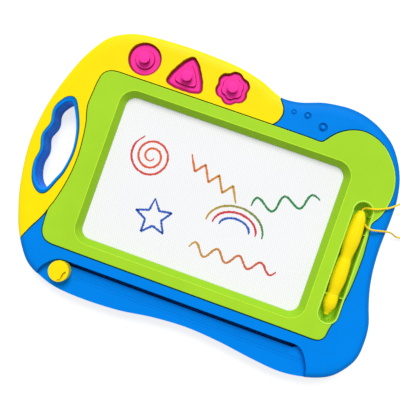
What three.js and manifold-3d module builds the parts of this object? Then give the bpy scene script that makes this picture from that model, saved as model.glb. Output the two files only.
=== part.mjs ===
// A magnetic drawing board: moulded casing in three colours, screen, eraser, three stamps and a tethered pen.
// Millimetres, +Z up. The origin is on the flat underside, below the middle of the screen;
// +X runs along the screen's long side and +Y towards the stamps.

import * as THREE from 'three';
import { mergeVertices } from 'three/addons/utils/BufferGeometryUtils.js';
import Module from 'manifold-3d';

const wasm = await Module();
wasm.setup();

// Plan: the screen that shows, and the bands of casing round it
const screenLength = 265;
const screenWidth = 173.5;
const screenCornerRadius = 12;
const leftBand = 92.5;
const rightBand = 82.5;
const topBand = 76;
const bottomBand = 68.25;

// Moulding
const wall = 2.2;
const gap = 0.3;
const overrun = 1;
const seamGap = 0.6;
const bezelGap = 0.7;
const edgeChamfer = 0.8;

// Heights
const coverHeight = 9;
const deckRise = 4.7;
const boardTop = 26.2;
const bezelRise = 1.8;
const ledgeDrop = 3.7;
const screenDepth = 7.2;
const terraceDrop = 6.8;

// Screen: two films round a honeycomb core, glued under the bezel
const filmThickness = 0.4;
const coreThickness = 2;
const gasketThickness = 0.6;
const gasketWidth = 3;
const screenMargin = 5;
const slopeWidth = 5.75;
const slopeDrop = 0.5;

// Bezel
const ledgeWidth = 4;
const bezelRounding = 1;

// Handle
const lipWidth = 3;
const lipEndWidth = 6;
const lipRise = 0.7;
const lipRounding = 1.2;

// Pen tray
const traySideRoom = 1.33;
const trayEndRoom = 4;
const trayDepth = 14.5;
const fingerWellRadius = 10.5;
const ribThickness = 1;
const ribReach = 1;
const ribDrop = 0.5;
const ribHeight = 8;

// Pen
const penLength = 123;
const penRadius = 9.07;
const penSides = 16;
const noseSpigotRadius = 4;
const noseSpigotLength = 8;
const penMagnetRadius = 1.8;
const penMagnetLength = 12;
const penPlugRadius = 2.6;
const penPlugLength = 4;

// Stamps
const wellRadius = 19.1;
const wellDepth = 7;
const wellClearance = 1;
const stampBaseHeight = 3.2;
const stampTierHeight = 2.5;
const stampKnobHeight = 6.3;
const stampKnobRadius = 6.7;
const stampMagnetHeight = 1.4;
const triangleRadius = 19.6;
const flowerRadius = 18.75;

// Eraser
const eraserTravel = 276;
const knobRadius = 12.2;
const knobHeight = 10.4;
const knobEdge = 1.2;
const knobWall = 1;
const slotClearance = 0.5;
const neckThickness = 1.8;
const neckWidth = 6.4;
const armThickness = 3.4;
const barWidth = 13;
const runnerHeight = 5.1;
const runnerWidth = 2.4;
const guideHeight = 4.5;
const magnetStripWidth = 8;
const magnetStripHeight = 2.4;

// Screws and their bosses
const screwHeadRadius = 3;
const screwHeadHeight = 2;
const screwShankRadius = 1.2;
const screwLength = 12;
const screwRecessDepth = 3.2;
const postWall = 1.6;
const bossRadius = 3.6;

// Moulded dots
const dotHeight = 1.4;
const dotRadii = [3.2, 4.2, 5.4];
const dotSteps = 5;

// Cord
const cordDiameter = 2.2;
const cordSides = 8;
const coilPlace = [67.54, 2.6];
const coilRadius = 13.6;
const coilPitch = 3;
const coilTurns = 3.5;
const coilStepsPerTurn = 24;
const coilSides = 6;
const cordFloorGap = 0.05;
const anchorRadius = 1.7;

// Worked out from the sizes above
const halfLength = screenLength / 2;
const halfWidth = screenWidth / 2;
const partingHeight = coverHeight + gap;
const deckTop = coverHeight + deckRise;
const ledgeTop = boardTop - ledgeDrop;
const bezelTop = boardTop + bezelRise;
const screenTop = boardTop - screenDepth;
const screenBottom = screenTop - coreThickness - 2 * filmThickness;
const flangeBottom = screenTop + gasketThickness;
const terraceTop = boardTop - terraceDrop;
const wellFloor = boardTop - wellDepth;
const trayFloor = bezelTop - trayDepth;
const trayWidth = 2 * (penRadius + traySideRoom);
const trayLength = penLength + trayEndRoom;
const armWidth = 2 * knobRadius - edgeChamfer;
const runnerTop = wall + runnerHeight;
const barBottom = runnerTop + gap;
const barTop = screenBottom - gap;
const penAxisHeight = trayFloor + gap + penRadius;

// Plan shares: 1 is the screen's edge and 2 the board's edge, on every side
const outlineShares = [
  [-2, 0.06], [-1.98, 0.353], [-1.945, 0.588], [-1.837, 0.94], [-1.716, 1.333], [-1.584, 1.601],
  [-1.481, 1.735], [-1.298, 1.869], [-1.122, 1.936], [-0.924, 1.976], [-0.616, 1.997], [-0.386, 1.98],
  [-0.155, 1.936], [0.075, 1.829], [0.167, 1.762], [0.229, 1.719], [0.262, 1.706], [0.305, 1.709],
  [0.382, 1.72], [0.459, 1.748], [0.613, 1.841], [0.736, 1.877], [0.859, 1.892], [0.997, 1.859],
  [1.242, 1.754], [1.489, 1.561], [1.698, 1.199], [1.779, 0.869], [1.789, 0.588], [1.774, 0.177],
  [1.79, -0.116], [1.828, -0.351], [1.896, -0.586], [1.98, -0.821], [2, -1.07], [1.97, -1.369],
  [1.834, -1.667], [1.686, -1.816], [1.402, -1.935], [1.057, -1.998], [0.766, -1.949], [0.459, -1.865],
  [0.152, -1.832], [-0.155, -1.861], [-0.463, -1.95], [-0.832, -1.999], [-1.089, -1.965],
  [-1.276, -1.891], [-1.496, -1.741], [-1.639, -1.518], [-1.767, -1.219], [-1.858, -0.938],
  [-1.924, -0.703], [-1.965, -0.468], [-1.988, -0.234],
];
const bezelShares = [
  [-1.04, 1.257], [-1.243, 1.253], [-1.319, 1.227], [-1.379, 1.161], [-1.405, 1.043], [-1.419, 0.865],
  [-1.427, 0.692], [-1.405, 0.576], [-1.373, 0.461], [-1.341, 0.231], [-1.326, 0], [-1.336, -0.231],
  [-1.37, -0.461], [-1.424, -0.692], [-1.455, -0.784], [-1.459, -0.922], [-1.443, -1.106],
  [-1.416, -1.179], [-1.373, -1.238], [-1.297, -1.27], [-1.135, -1.275], [1.12, -1.275], [1.323, -1.275],
  [1.394, -1.253], [1.442, -1.187], [1.462, -1.048], [1.488, -0.922], [1.522, -0.692], [1.555, -0.461],
  [1.572, 0], [1.564, 0.115], [1.545, 0.346], [1.535, 0.42], [1.555, 0.468], [1.612, 0.553],
  [1.66, 0.7], [1.678, 0.876], [1.656, 1.03], [1.62, 1.145], [1.56, 1.263], [1.462, 1.394],
  [1.36, 1.492], [1.234, 1.565], [1.046, 1.605], [0.93, 1.572], [0.862, 1.513], [0.802, 1.43],
  [0.76, 1.343], [0.738, 1.29], [0.725, 1.266], [0.706, 1.253], [0.672, 1.253], [0.6, 1.257],
];
const handleShares = [
  [-1.649, 0.724], [-1.6, 0.703], [-1.557, 0.634], [-1.47, 0.438], [-1.427, 0.288], [-1.398, 0.023],
  [-1.438, -0.288], [-1.481, -0.403], [-1.557, -0.588], [-1.6, -0.628], [-1.643, -0.634],
  [-1.708, -0.599], [-1.773, -0.519], [-1.816, -0.403], [-1.835, -0.254], [-1.811, -0.092],
  [-1.856, 0.115], [-1.8, 0.3], [-1.827, 0.461], [-1.811, 0.553], [-1.773, 0.622], [-1.719, 0.692],
];
const topSeamShares = [
  [0.262, 2.4], [0.262, 1.7], [0.287, 1.627], [0.31, 1.568], [0.325, 1.482], [0.321, 1.416],
  [0.306, 1.343], [0.28, 1.284], [0.262, 1.245], [0.25, 1.05],
];
const leftSeamShares = [
  [-1.15, -0.7], [-1.466, -0.809], [-1.482, -0.855], [-1.531, -0.971], [-1.585, -1.095],
  [-1.628, -1.213], [-1.672, -1.338], [-1.73, -1.516],
];
const terraceShares = [
  [-1.4, -2.4], [-1.343, -1.81], [-1.31, -1.7], [-1.25, -1.6], [-1.18, -1.52], [-1.1, -1.475],
  [-0.9, -1.471], [0.9, -1.471], [1.15, -1.474], [1.224, -1.525], [1.285, -1.617], [1.334, -1.72],
  [1.362, -1.81], [1.45, -2.4],
];
const seamFarShare = 2.6;
const miterShare = 0.6;
const roundingShares = [[0, 1], [0.3, 0.3], [1, 0]];
const triangleShares = [0.1735, 0.0373, 0.0144, 0.0127];
const flowerShares = [0.06, -0.013];
const stampKnobShares = [[0.92, 0], [0.92, 0.3], [1, 0.6], [0.92, 0.86], [0.7, 1]];
const screwTaperShare = 0.8;
const cordStepShare = 2.4;
const climbShare = 0.25;
const tierShares = [0.6, 0.6, 0.68];
const magnetShare = 0.78;
const stampShares = [[-0.964, 1.583], [-0.563, 1.534], [-0.157, 1.592]];
const dotShares = [[0.408, 1.55], [0.529, 1.563], [0.684, 1.471]];
const knobShare = [-1.071, -1.667];
const slotShare = -1.481;
const penShare = [1.3745, 0.552];
const trayShare = [1.379, 0.5];
const fingerWellShare = [1.376, 0.547];
const ribShares = [0.261, -0.602];
const screwShares = [
  [-1.47, 1.46], [-0.36, 1.74], [-1.64, -0.96], [0.47, 1.37], [1.655, -0.1], [1.57, -1.45],
  [-1.42, -1.52], [1.21, 1.38],
];

// Rim of the casing above the parting line, and of the cover below it: [inset, height] in named sizes
const rimInset = 14;
const rimRounding = 12.2;
const rimShares = [[0, 0.62], [0.02, 0.4], [0.11, 0.22], [0.4, 0.07], [1, 0]];
const hollowRings = [0, 2, 4];
const draft = 0.6;
const coverRounding = 3;
const coverRimShares = [[1, 0], [0.4, 0.25], [0.1, 1]];

const rimRings = rimShares.map(([inset, drop]) => [inset * rimInset, boardTop - drop * rimRounding]);

const colours = {
  yellow: 0xffe805,
  green: 0xace036,
  blue: 0x0187eb,
  magenta: 0xff44a0,
  white: 0xf4f5f7,
  film: 0xe8ecee,
  dark: 0x3a3a3d,
  foam: 0x2c2c2e,
  steel: 0xb5b8bc,
  cord: 0xffcd28,
};

function plastic(colour) {
  return new THREE.MeshStandardMaterial({ color: colour, roughness: 0.38, metalness: 0 });
}

function magnet() {
  return new THREE.MeshStandardMaterial({ color: colours.dark, roughness: 0.7, metalness: 0.1 });
}

function metal() {
  return new THREE.MeshStandardMaterial({ color: colours.steel, roughness: 0.35, metalness: 1 });
}

// Plan and outline helpers
function along(share, half, low, high) {
  if (Math.abs(share) <= 1) return share * half;
  return Math.sign(share) * (half + (Math.abs(share) - 1) * (share > 0 ? high : low));
}

function plan([u, v]) {
  const x = along(u, halfLength, leftBand, rightBand);
  return new THREE.Vector2(x, along(v, halfWidth, bottomBand, topBand));
}

function spline(shares, stepsPerSpan, closed = true) {
  const knots = shares.map(plan).map((p) => new THREE.Vector3(p.x, p.y, 0));
  const curve = new THREE.CatmullRomCurve3(knots, closed, 'centripetal');
  const spans = closed ? knots.length : knots.length - 1;
  const points = curve.getPoints(spans * stepsPerSpan).map((p) => new THREE.Vector2(p.x, p.y));
  if (closed) points.pop();
  return anticlockwise(points);
}

function anticlockwise(points) {
  return THREE.ShapeUtils.area(points) < 0 ? points.slice().reverse() : points;
}

function grow(points, distance) {
  const count = points.length;
  return points.map((point, i) => {
    const before = points[(i + count - 1) % count];
    const after = points[(i + 1) % count];
    const a = point.clone().sub(before).normalize();
    const b = after.clone().sub(point).normalize();
    const normal = new THREE.Vector2(a.y + b.y, -a.x - b.x).normalize();
    const stretch = Math.max(normal.x * a.y - normal.y * a.x, miterShare);
    return point.clone().addScaledVector(normal, distance / stretch);
  });
}

// The edge of a top, from its wall inwards, as [inset, height]
function roundedEdge(top, radius) {
  return roundingShares.map(([inset, drop]) => [inset * radius, top - drop * radius]);
}

function everySecond(points) {
  return points.filter((_, i) => i % 2 === 0);
}

function circle(radius, segments, centre = new THREE.Vector2()) {
  return polar(() => radius, segments, centre);
}

function polar(radiusAt, segments, centre = new THREE.Vector2()) {
  return Array.from({ length: segments }, (_, i) => {
    const angle = (i / segments) * 2 * Math.PI;
    const radius = radiusAt(angle);
    return new THREE.Vector2(centre.x + radius * Math.cos(angle), centre.y + radius * Math.sin(angle));
  });
}

function roundedRectangle(halfX, halfY, radius, steps) {
  const corners = [[1, 1], [-1, 1], [-1, -1], [1, -1]];
  return corners.flatMap(([sx, sy], quarter) =>
    Array.from({ length: steps + 1 }, (_, i) => {
      const angle = (quarter + i / steps) * Math.PI / 2;
      const x = sx * (halfX - radius) + radius * Math.cos(angle);
      const y = sy * (halfY - radius) + radius * Math.sin(angle);
      return new THREE.Vector2(x, y);
    }));
}

// Solid helpers
function solid(geometry) {
  const bare = geometry.clone();
  bare.deleteAttribute('normal');
  bare.deleteAttribute('uv');
  const merged = mergeVertices(bare);
  const vertProperties = new Float32Array(merged.attributes.position.array);
  const triVerts = new Uint32Array(merged.index.array);
  return new wasm.Manifold(new wasm.Mesh({ numProp: 3, vertProperties, triVerts }));
}

function prism(points, low, high) {
  const raised = { depth: high - low, bevelEnabled: false };
  return solid(new THREE.ExtrudeGeometry(new THREE.Shape(points), raised).translate(0, 0, low));
}

function loft(points, rings) {
  const count = points.length;
  const layers = rings.map(([inset, height]) => grow(points, -inset).map((p) => [p.x, p.y, height]));
  const index = [];
  for (let k = 0; k + 1 < rings.length; k++) {
    for (let i = 0; i < count; i++) {
      const a = k * count + i;
      const b = k * count + ((i + 1) % count);
      index.push(a, b, b + count, a, b + count, a + count);
    }
  }
  const flat = (layer) => layer.map(([x, y]) => new THREE.Vector2(x, y));
  const top = (rings.length - 1) * count;
  for (const [a, b, c] of THREE.ShapeUtils.triangulateShape(flat(layers[0]), [])) index.push(c, b, a);
  for (const [a, b, c] of THREE.ShapeUtils.triangulateShape(flat(layers.at(-1)), [])) {
    index.push(top + a, top + b, top + c);
  }
  const geometry = new THREE.BufferGeometry();
  geometry.setAttribute('position', new THREE.Float32BufferAttribute(layers.flat(2), 3));
  geometry.setIndex(index);
  return solid(geometry);
}

function cylinder(radius, low, high, centre, segments = 20) {
  return prism(circle(radius, segments, centre), low, high);
}

function block(x0, x1, y0, y1, z0, z1) {
  const geometry = new THREE.BoxGeometry(x1 - x0, y1 - y0, z1 - z0);
  return solid(geometry.translate((x0 + x1) / 2, (y0 + y1) / 2, (z0 + z1) / 2));
}

function revolve(profile, segments) {
  return solid(new THREE.LatheGeometry(profile.map(([r, h]) => new THREE.Vector2(r, h)), segments));
}

function joined(solids) {
  return solids.reduce((whole, next) => whole.add(next));
}

function piece(name, body, material) {
  const { vertProperties, triVerts } = body.getMesh();
  const geometry = new THREE.BufferGeometry();
  geometry.setAttribute('position', new THREE.BufferAttribute(vertProperties, 3));
  geometry.setIndex(new THREE.BufferAttribute(triVerts, 1));
  geometry.computeVertexNormals();
  const mesh = new THREE.Mesh(geometry, material);
  mesh.name = name;
  return mesh;
}

// Shared outlines and places
const outline = spline(outlineShares, 2);
const bezelOutline = spline(bezelShares, 2);
const handleOutline = spline(handleShares, 2);
const screws = screwShares.map(plan);
const panelScrews = screws.slice(0, 3);
const frameScrews = screws.slice(3, 7);
const bezelScrews = screws.slice(7);
const knobPlace = plan(knobShare);
const slotHigh = plan([0, slotShare]).y;
const neckHigh = knobPlace.y + Math.sqrt(knobRadius ** 2 - (neckWidth / 2 + gap) ** 2) - knobWall - gap;
const neckLow = neckHigh - neckThickness;
const penPlace = plan(penShare);
const trayPlace = plan(trayShare);
const fingerWell = plan(fingerWellShare);

function handleHole() {
  const inner = grow(handleOutline, -lipWidth);
  const heights = handleOutline.map((p) => p.y);
  const middle = (Math.max(...heights) + Math.min(...heights)) / 2;
  const half = (Math.max(...heights) - Math.min(...heights)) / 2 - lipWidth;
  const shorter = (half + lipWidth - lipEndWidth) / half;
  return inner.map((p) => new THREE.Vector2(p.x, middle + (p.y - middle) * shorter));
}

const holeOutline = handleHole();

function yellowRegion(margin) {
  const top = spline(topSeamShares, 3, false);
  const left = spline(leftSeamShares, 3, false);
  const startAt = (points, shares) => {
    const first = plan(shares[0]);
    return points[0].distanceTo(first) < points.at(-1).distanceTo(first) ? points : points.slice().reverse();
  };
  const corners = [[-seamFarShare, leftSeamShares.at(-1)[1]], [-seamFarShare, seamFarShare],
    [topSeamShares[0][0], seamFarShare]].map(plan);
  const region = [...startAt(top, topSeamShares), plan([leftSeamShares[0][0], topSeamShares.at(-1)[1]]),
    ...startAt(left, leftSeamShares), ...corners];
  return grow(anticlockwise(region), -margin);
}

function terraceRegion(margin) {
  return grow(anticlockwise(spline(terraceShares, 3, false)), margin);
}

// The radius at an angle of a rounded shape with equal lobes, one of them towards +Y
function lobed(radius, lobes, shares, clearance) {
  return (angle) => clearance + shares.reduce((reach, share, k) =>
    reach + radius * share * Math.cos((k + 1) * lobes * (angle - Math.PI / 2)), radius);
}

function wellOutlines(clearance) {
  const [round, triangle, flower] = stampShares.map(plan);
  return [
    polar(() => wellRadius + clearance, 32, round),
    polar(lobed(triangleRadius, 3, triangleShares, clearance), 48, triangle),
    polar(lobed(flowerRadius, 6, flowerShares, clearance), 48, flower),
  ];
}

function trayShape(margin) {
  const halfTray = trayWidth / 2 + margin;
  const top = trayPlace.y + margin;
  const bottom = trayPlace.y - trayLength + trayWidth / 2;
  const end = Array.from({ length: 13 }, (_, i) => {
    const angle = Math.PI + (i / 12) * Math.PI;
    return new THREE.Vector2(trayPlace.x + halfTray * Math.cos(angle), bottom + halfTray * Math.sin(angle));
  });
  const corners = [halfTray, -halfTray].map((x) => new THREE.Vector2(trayPlace.x + x, top));
  return [anticlockwise([...corners, ...end]), circle(fingerWellRadius + margin, 32, fingerWell)];
}

function trayPrism(margin, low, high) {
  return joined(trayShape(margin).map((points) => prism(points, low, high)));
}

// The casing above the parting line, before it is split into its blue and yellow mouldings
function casingOutside() {
  const whole = loft(outline, [[draft, partingHeight], ...rimRings]);
  const cuts = [
    prism(grow(bezelOutline, bezelGap), ledgeTop, boardTop + overrun),
    prism(everySecond(grow(bezelOutline, -ledgeWidth)), partingHeight - overrun, boardTop + overrun),
    prism(terraceRegion(0), terraceTop, boardTop + overrun),
    trayPrism(wall + bezelGap, partingHeight - overrun, boardTop + overrun),
  ];
  return whole.subtract(joined(cuts));
}

function casingInside() {
  const hollow = loft(outline, [
    [draft + wall, partingHeight - overrun],
    ...hollowRings.map((ring) => [rimRings[ring][0] + wall, rimRings[ring][1] - wall]),
  ]);
  const kept = [
    prism(grow(bezelOutline, bezelGap + wall), ledgeTop - wall, boardTop + overrun),
    prism(terraceRegion(wall), terraceTop - wall, boardTop + overrun),
  ];
  return hollow.subtract(joined(kept));
}

function bosses(places, low, high) {
  return places.map((place) => cylinder(bossRadius, low, high, place, 8));
}

function pilots(places, low) {
  return joined(places.map((place) => cylinder(screwShankRadius + gap, low - overrun,
    screwRecessDepth + screwLength + gap, place, 8)));
}

function frontFrame() {
  const region = prism(yellowRegion(-seamGap / 2), deckTop, boardTop + 2 * overrun);
  const ring = loft(handleOutline, [[0, partingHeight], ...roundedEdge(boardTop + lipRise, lipRounding)]);
  const outside = casingOutside().subtract(region).add(ring);
  const inside = casingInside()
    .subtract(prism(yellowRegion(-seamGap / 2 - wall), deckTop - wall, boardTop + 2 * overrun))
    .subtract(prism(handleOutline, 0, boardTop));
  const posts = joined(bosses(frameScrews, partingHeight, boardTop - wall / 2))
    .intersect(casingOutside());
  const hole = loft(holeOutline, [
    [0, 0], [0, boardTop + lipRise - lipRounding], [-lipRounding, boardTop + lipRise + gap],
  ]);
  const slotHalf = (eraserTravel + neckWidth) / 2 + overrun;
  const slotMiddle = knobPlace.x + eraserTravel / 2;
  const slot = block(slotMiddle - slotHalf, slotMiddle + slotHalf, neckLow - slotClearance, slotHigh,
    terraceTop - wall - overrun, terraceTop + overrun);
  const throughDeck = joined(panelScrews.map((place) =>
    cylinder(screwShankRadius + gap, deckTop - wall - overrun, deckTop + overrun, place, 8)));
  return piece('front_frame', outside.subtract(inside).add(posts).add(dots())
    .subtract(hole).subtract(slot).subtract(pilots(frameScrews, partingHeight)).subtract(throughDeck),
  plastic(colours.blue));
}

// Three low domes moulded in the blue
function dots() {
  return joined(dotShares.map((share, i) => {
    const place = plan(share);
    const radius = dotRadii[i];
    const rise = (turn) => boardTop - wall / 2 + (dotHeight + wall / 2) * Math.cos(turn);
    const profile = [[0, boardTop - wall / 2]];
    for (let k = dotSteps; k >= 0; k--) {
      const turn = (k / dotSteps) * Math.PI / 2;
      profile.push([radius * Math.sin(turn), rise(turn)]);
    }
    return revolve(profile, 20).rotate([90, 0, 0]).translate([place.x, place.y, 0]);
  }));
}

function topPanel() {
  const low = deckTop + gap;
  const region = prism(yellowRegion(seamGap / 2), low, boardTop + overrun);
  const hollowRegion = prism(yellowRegion(seamGap / 2 + wall), low - overrun, boardTop + overrun);
  const pockets = (margin, floor) => joined(wellOutlines(margin).map((points) =>
    prism(points, floor, boardTop + overrun)));
  const cups = pockets(wall, wellFloor - wall);
  const inside = casingInside().intersect(hollowRegion).subtract(cups);
  const posts = joined(bosses(panelScrews, low, boardTop - wall / 2)).intersect(casingOutside());
  const ring = prism(grow(handleOutline, seamGap), low - overrun, boardTop + overrun);
  return piece('top_panel', casingOutside().intersect(region).subtract(inside).add(posts)
    .subtract(pockets(0, wellFloor)).subtract(ring).subtract(pilots(panelScrews, low)),
  plastic(colours.yellow));
}

function screenBezel() {
  const low = ledgeTop + gap;
  const plate = loft(bezelOutline, [[0, low], ...roundedEdge(bezelTop, bezelRounding)]);
  const hollow = loft(bezelOutline, [[wall, low - overrun], [wall, bezelTop - wall]]);
  const flange = roundedRectangle(halfLength + screenMargin + wall, halfWidth + screenMargin + wall,
    screenCornerRadius + screenMargin, 6);
  const funnel = prism(flange, flangeBottom, bezelTop - wall / 2);
  const cup = trayPrism(wall, trayFloor - wall, bezelTop - wall / 2);
  const opening = roundedRectangle(halfLength, halfWidth, screenCornerRadius, 6);
  const slopeTop = -slopeWidth - slopeDrop;
  const slope = loft(opening, [[0, flangeBottom - overrun], [0, flangeBottom],
    [-slopeWidth, bezelTop - slopeDrop], [slopeTop, bezelTop], [slopeTop, bezelTop + overrun]]);
  const post = joined(bosses(bezelScrews, partingHeight, bezelTop - wall / 2));
  const body = plate.subtract(hollow).add(funnel).add(cup).add(post)
    .subtract(slope).subtract(trayPrism(0, trayFloor, bezelTop + overrun)).add(ribs())
    .subtract(anchorSeat()).subtract(pilots(bezelScrews, partingHeight));
  return piece('screen_bezel', body, plastic(colours.green));
}

// Thin ribs on both walls of the tray, beside the pen
function ribs() {
  const inner = trayWidth / 2 - ribReach;
  const outer = trayWidth / 2 + wall / 2;
  const high = bezelTop - ribDrop;
  return joined(ribShares.flatMap((share) => {
    const { y } = plan([0, share]);
    const sides = [[-outer, -inner], [inner, outer]];
    return sides.map(([x0, x1]) => block(trayPlace.x + x0, trayPlace.x + x1,
      y - ribThickness / 2, y + ribThickness / 2, high - ribHeight, high));
  }));
}

function rearCover() {
  const rings = coverRimShares.map(([inset, rise]) => [inset * coverRounding + draft, rise * coverRounding]);
  const outside = loft(outline, [...rings, [draft, coverHeight]]);
  const hollow = loft(outline, [[draft + wall + coverRounding / 2, wall],
    [draft + wall, coverHeight + overrun]]);
  const posts = joined(screws.map((place) =>
    cylinder(screwHeadRadius + gap + postWall, wall / 2, coverHeight, place, 12)));
  const recesses = joined(screws.map((place) =>
    cylinder(screwHeadRadius + gap, -overrun, screwRecessDepth, place, 12)));
  const holes = joined(screws.map((place) =>
    cylinder(screwShankRadius + gap, -overrun, coverHeight + overrun, place, 8)));
  const collar = prism(handleOutline, wall / 2, coverHeight);
  const hole = prism(holeOutline, -overrun, coverHeight + overrun);
  return piece('rear_cover', outside.subtract(hollow).add(posts).add(collar).add(runners())
    .subtract(recesses).subtract(holes).subtract(hole), plastic(colours.blue));
}

// Two runners that carry the eraser bar, a guide at its far end and short stiffening ribs
function runners() {
  const start = knobPlace.x - barWidth;
  const end = knobPlace.x + eraserTravel + barWidth;
  const edge = halfWidth + screenMargin;
  const guide = edge + runnerWidth + gap;
  return joined([
    block(start, end, edge - runnerWidth, edge, wall / 2, runnerTop),
    block(start, end, -edge, -edge + runnerWidth, wall / 2, runnerTop),
    block(start, end, guide, guide + runnerWidth, wall / 2, runnerTop + guideHeight),
  ]);
}

function screwMeshes() {
  return screws.map((place, i) => {
    const top = screwRecessDepth - gap;
    const profile = [
      [0, top - screwHeadHeight], [screwHeadRadius * screwTaperShare, top - screwHeadHeight],
      [screwHeadRadius, top - screwHeadHeight / 2], [screwHeadRadius, top],
      [screwShankRadius, top], [screwShankRadius, top + screwLength * screwTaperShare],
      [0, top + screwLength],
    ];
    const body = revolve(profile, 10).rotate([90, 0, 0]).translate([place.x, place.y, 0]);
    return piece(`cover_screw_${i + 1}`, body, metal());
  });
}

function screenParts() {
  const sheet = roundedRectangle(halfLength + screenMargin, halfWidth + screenMargin,
    screenCornerRadius + screenMargin / 2, 5);
  const seal = prism(sheet, screenTop, flangeBottom).subtract(
    prism(grow(sheet, -gasketWidth), screenTop - overrun, flangeBottom + overrun));
  const coreTop = screenTop - filmThickness;
  const coreBottom = screenBottom + filmThickness;
  const film = () => new THREE.MeshStandardMaterial({ color: colours.film, roughness: 0.25, metalness: 0 });
  return [
    piece('screen_gasket', seal, plastic(colours.foam)),
    piece('screen_front_film', prism(sheet, coreTop, screenTop), film()),
    piece('screen_core', prism(sheet, coreBottom, coreTop), plastic(colours.white)),
    piece('screen_back_film', prism(sheet, screenBottom, coreBottom), film()),
  ];
}

function eraserParts() {
  const { x, y } = knobPlace;
  const low = terraceTop + gap;
  const high = low + knobHeight;
  const edge = halfWidth + screenMargin;
  const neckTop = high - wall;
  const socket = block(x - neckWidth / 2 - gap, x + neckWidth / 2 + gap, neckLow - gap, neckHigh + gap,
    low - overrun, neckTop + gap);
  const crown = roundedEdge(high, knobEdge).map(([inset, height]) => [knobRadius - inset, height]);
  const knob = revolve([[0, low], [knobRadius - edgeChamfer / 2, low], [knobRadius, low + edgeChamfer],
    ...crown, [0, high]], 32).rotate([90, 0, 0]).translate([x, y, 0]);
  const slider = joined([
    block(x - neckWidth / 2, x + neckWidth / 2, neckLow, neckHigh, barBottom, neckTop),
    block(x - armWidth / 2, x + armWidth / 2, neckLow, -edge + barWidth,
      barBottom, barBottom + armThickness),
    block(x - barWidth / 2, x + barWidth / 2, -edge, edge + runnerWidth, barBottom, barTop),
  ]);
  const stripHalf = magnetStripWidth / 2;
  const groove = block(x - stripHalf - gap, x + stripHalf + gap, -halfWidth - gap, halfWidth + gap,
    barTop - magnetStripHeight, barTop + overrun);
  const strip = block(x - stripHalf, x + stripHalf, -halfWidth, halfWidth,
    barTop - magnetStripHeight + gap, barTop);
  return [
    piece('eraser_knob', knob.subtract(socket), plastic(colours.yellow)),
    piece('eraser_slider', slider.subtract(groove), plastic(colours.blue)),
    piece('eraser_magnet', strip, magnet()),
  ];
}

function stampParts() {
  const names = ['stamp_circle', 'stamp_triangle', 'stamp_flower'];
  const low = wellFloor + gap;
  const tierTop = low + stampBaseHeight + stampTierHeight;
  const centres = stampShares.map(plan);
  const shape = (kind, clearance, share) => {
    const centre = centres[kind];
    return wellOutlines(clearance)[kind].map((p) => p.clone().sub(centre).multiplyScalar(share).add(centre));
  };
  return names.flatMap((name, kind) => {
    const base = loft(shape(kind, -wellClearance, 1), [[0, low], [0, low + stampBaseHeight - edgeChamfer],
      [edgeChamfer, low + stampBaseHeight]]);
    const tier = loft(shape(kind, -wellClearance, tierShares[kind]),
      [[0, low + overrun], [edgeChamfer / 2, tierTop]]);
    const profile = stampKnobShares.map(([radius, rise]) =>
      [radius * stampKnobRadius, tierTop + rise * stampKnobHeight]);
    const knob = revolve([[0, tierTop - overrun], [profile[0][0], tierTop - overrun], ...profile,
      [0, profile.at(-1)[1]]], 24).rotate([90, 0, 0]).translate([centres[kind].x, centres[kind].y, 0]);
    const magnetShape = everySecond(shape(kind, -wellClearance, magnetShare));
    const recess = prism(grow(magnetShape, gap), low - overrun, low + stampMagnetHeight + gap);
    const plate = prism(magnetShape, low, low + stampMagnetHeight);
    return [
      piece(name, base.add(tier).add(knob).subtract(recess), plastic(colours.magenta)),
      piece(`${name}_magnet`, plate, magnet()),
    ];
  });
}

// Pen: stations along its length and radii, both as shares, from the cord end to the tip
const barrelShares = [
  [0, 0.42], [0.012, 0.62], [0.06, 0.79], [0.146, 0.87], [0.267, 1], [0.389, 0.84], [0.454, 0.7],
  [0.552, 0.87], [0.633, 0.9], [0.715, 0.79], [0.796, 0.67],
];
const noseShares = [[0.799, 0.67], [0.84, 0.78], [0.877, 0.87], [0.926, 0.76], [0.975, 0.48], [1, 0.34]];

function penParts() {
  const place = (body) => body.translate([penPlace.x, penPlace.y, penAxisHeight]);
  const turned = (profile, sides = penSides) =>
    place(revolve(profile.map(([r, station]) => [r, -station]).reverse(), sides));
  const profile = (shares) => shares.map(([station, radius]) => [radius * penRadius, station * penLength]);
  const closedProfile = (points) => [[0, points[0][1]], ...points, [0, points.at(-1)[1]]];
  const rod = (radius, from, to) => turned([[0, from], [radius, from], [radius, to], [0, to]], 12);
  const joint = barrelShares.at(-1)[0] * penLength;
  const barrel = turned(closedProfile(profile(barrelShares)))
    .subtract(rod(noseSpigotRadius + gap, joint - noseSpigotLength - gap, joint + overrun))
    .subtract(rod(penPlugRadius + gap, -overrun, penPlugLength + gap));
  const nose = turned(closedProfile(profile(noseShares)))
    .add(rod(noseSpigotRadius, joint - noseSpigotLength, joint + overrun))
    .subtract(rod(penMagnetRadius + gap, penLength - penMagnetLength - gap, penLength + overrun));
  return [
    piece('pen_barrel', barrel, plastic(colours.yellow)),
    piece('pen_nose', nose, plastic(colours.yellow)),
    piece('pen_magnet', rod(penMagnetRadius, penLength - penMagnetLength, penLength), metal()),
    piece('pen_cord_plug', rod(penPlugRadius, 0, penPlugLength), plastic(colours.yellow)),
  ];
}

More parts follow.
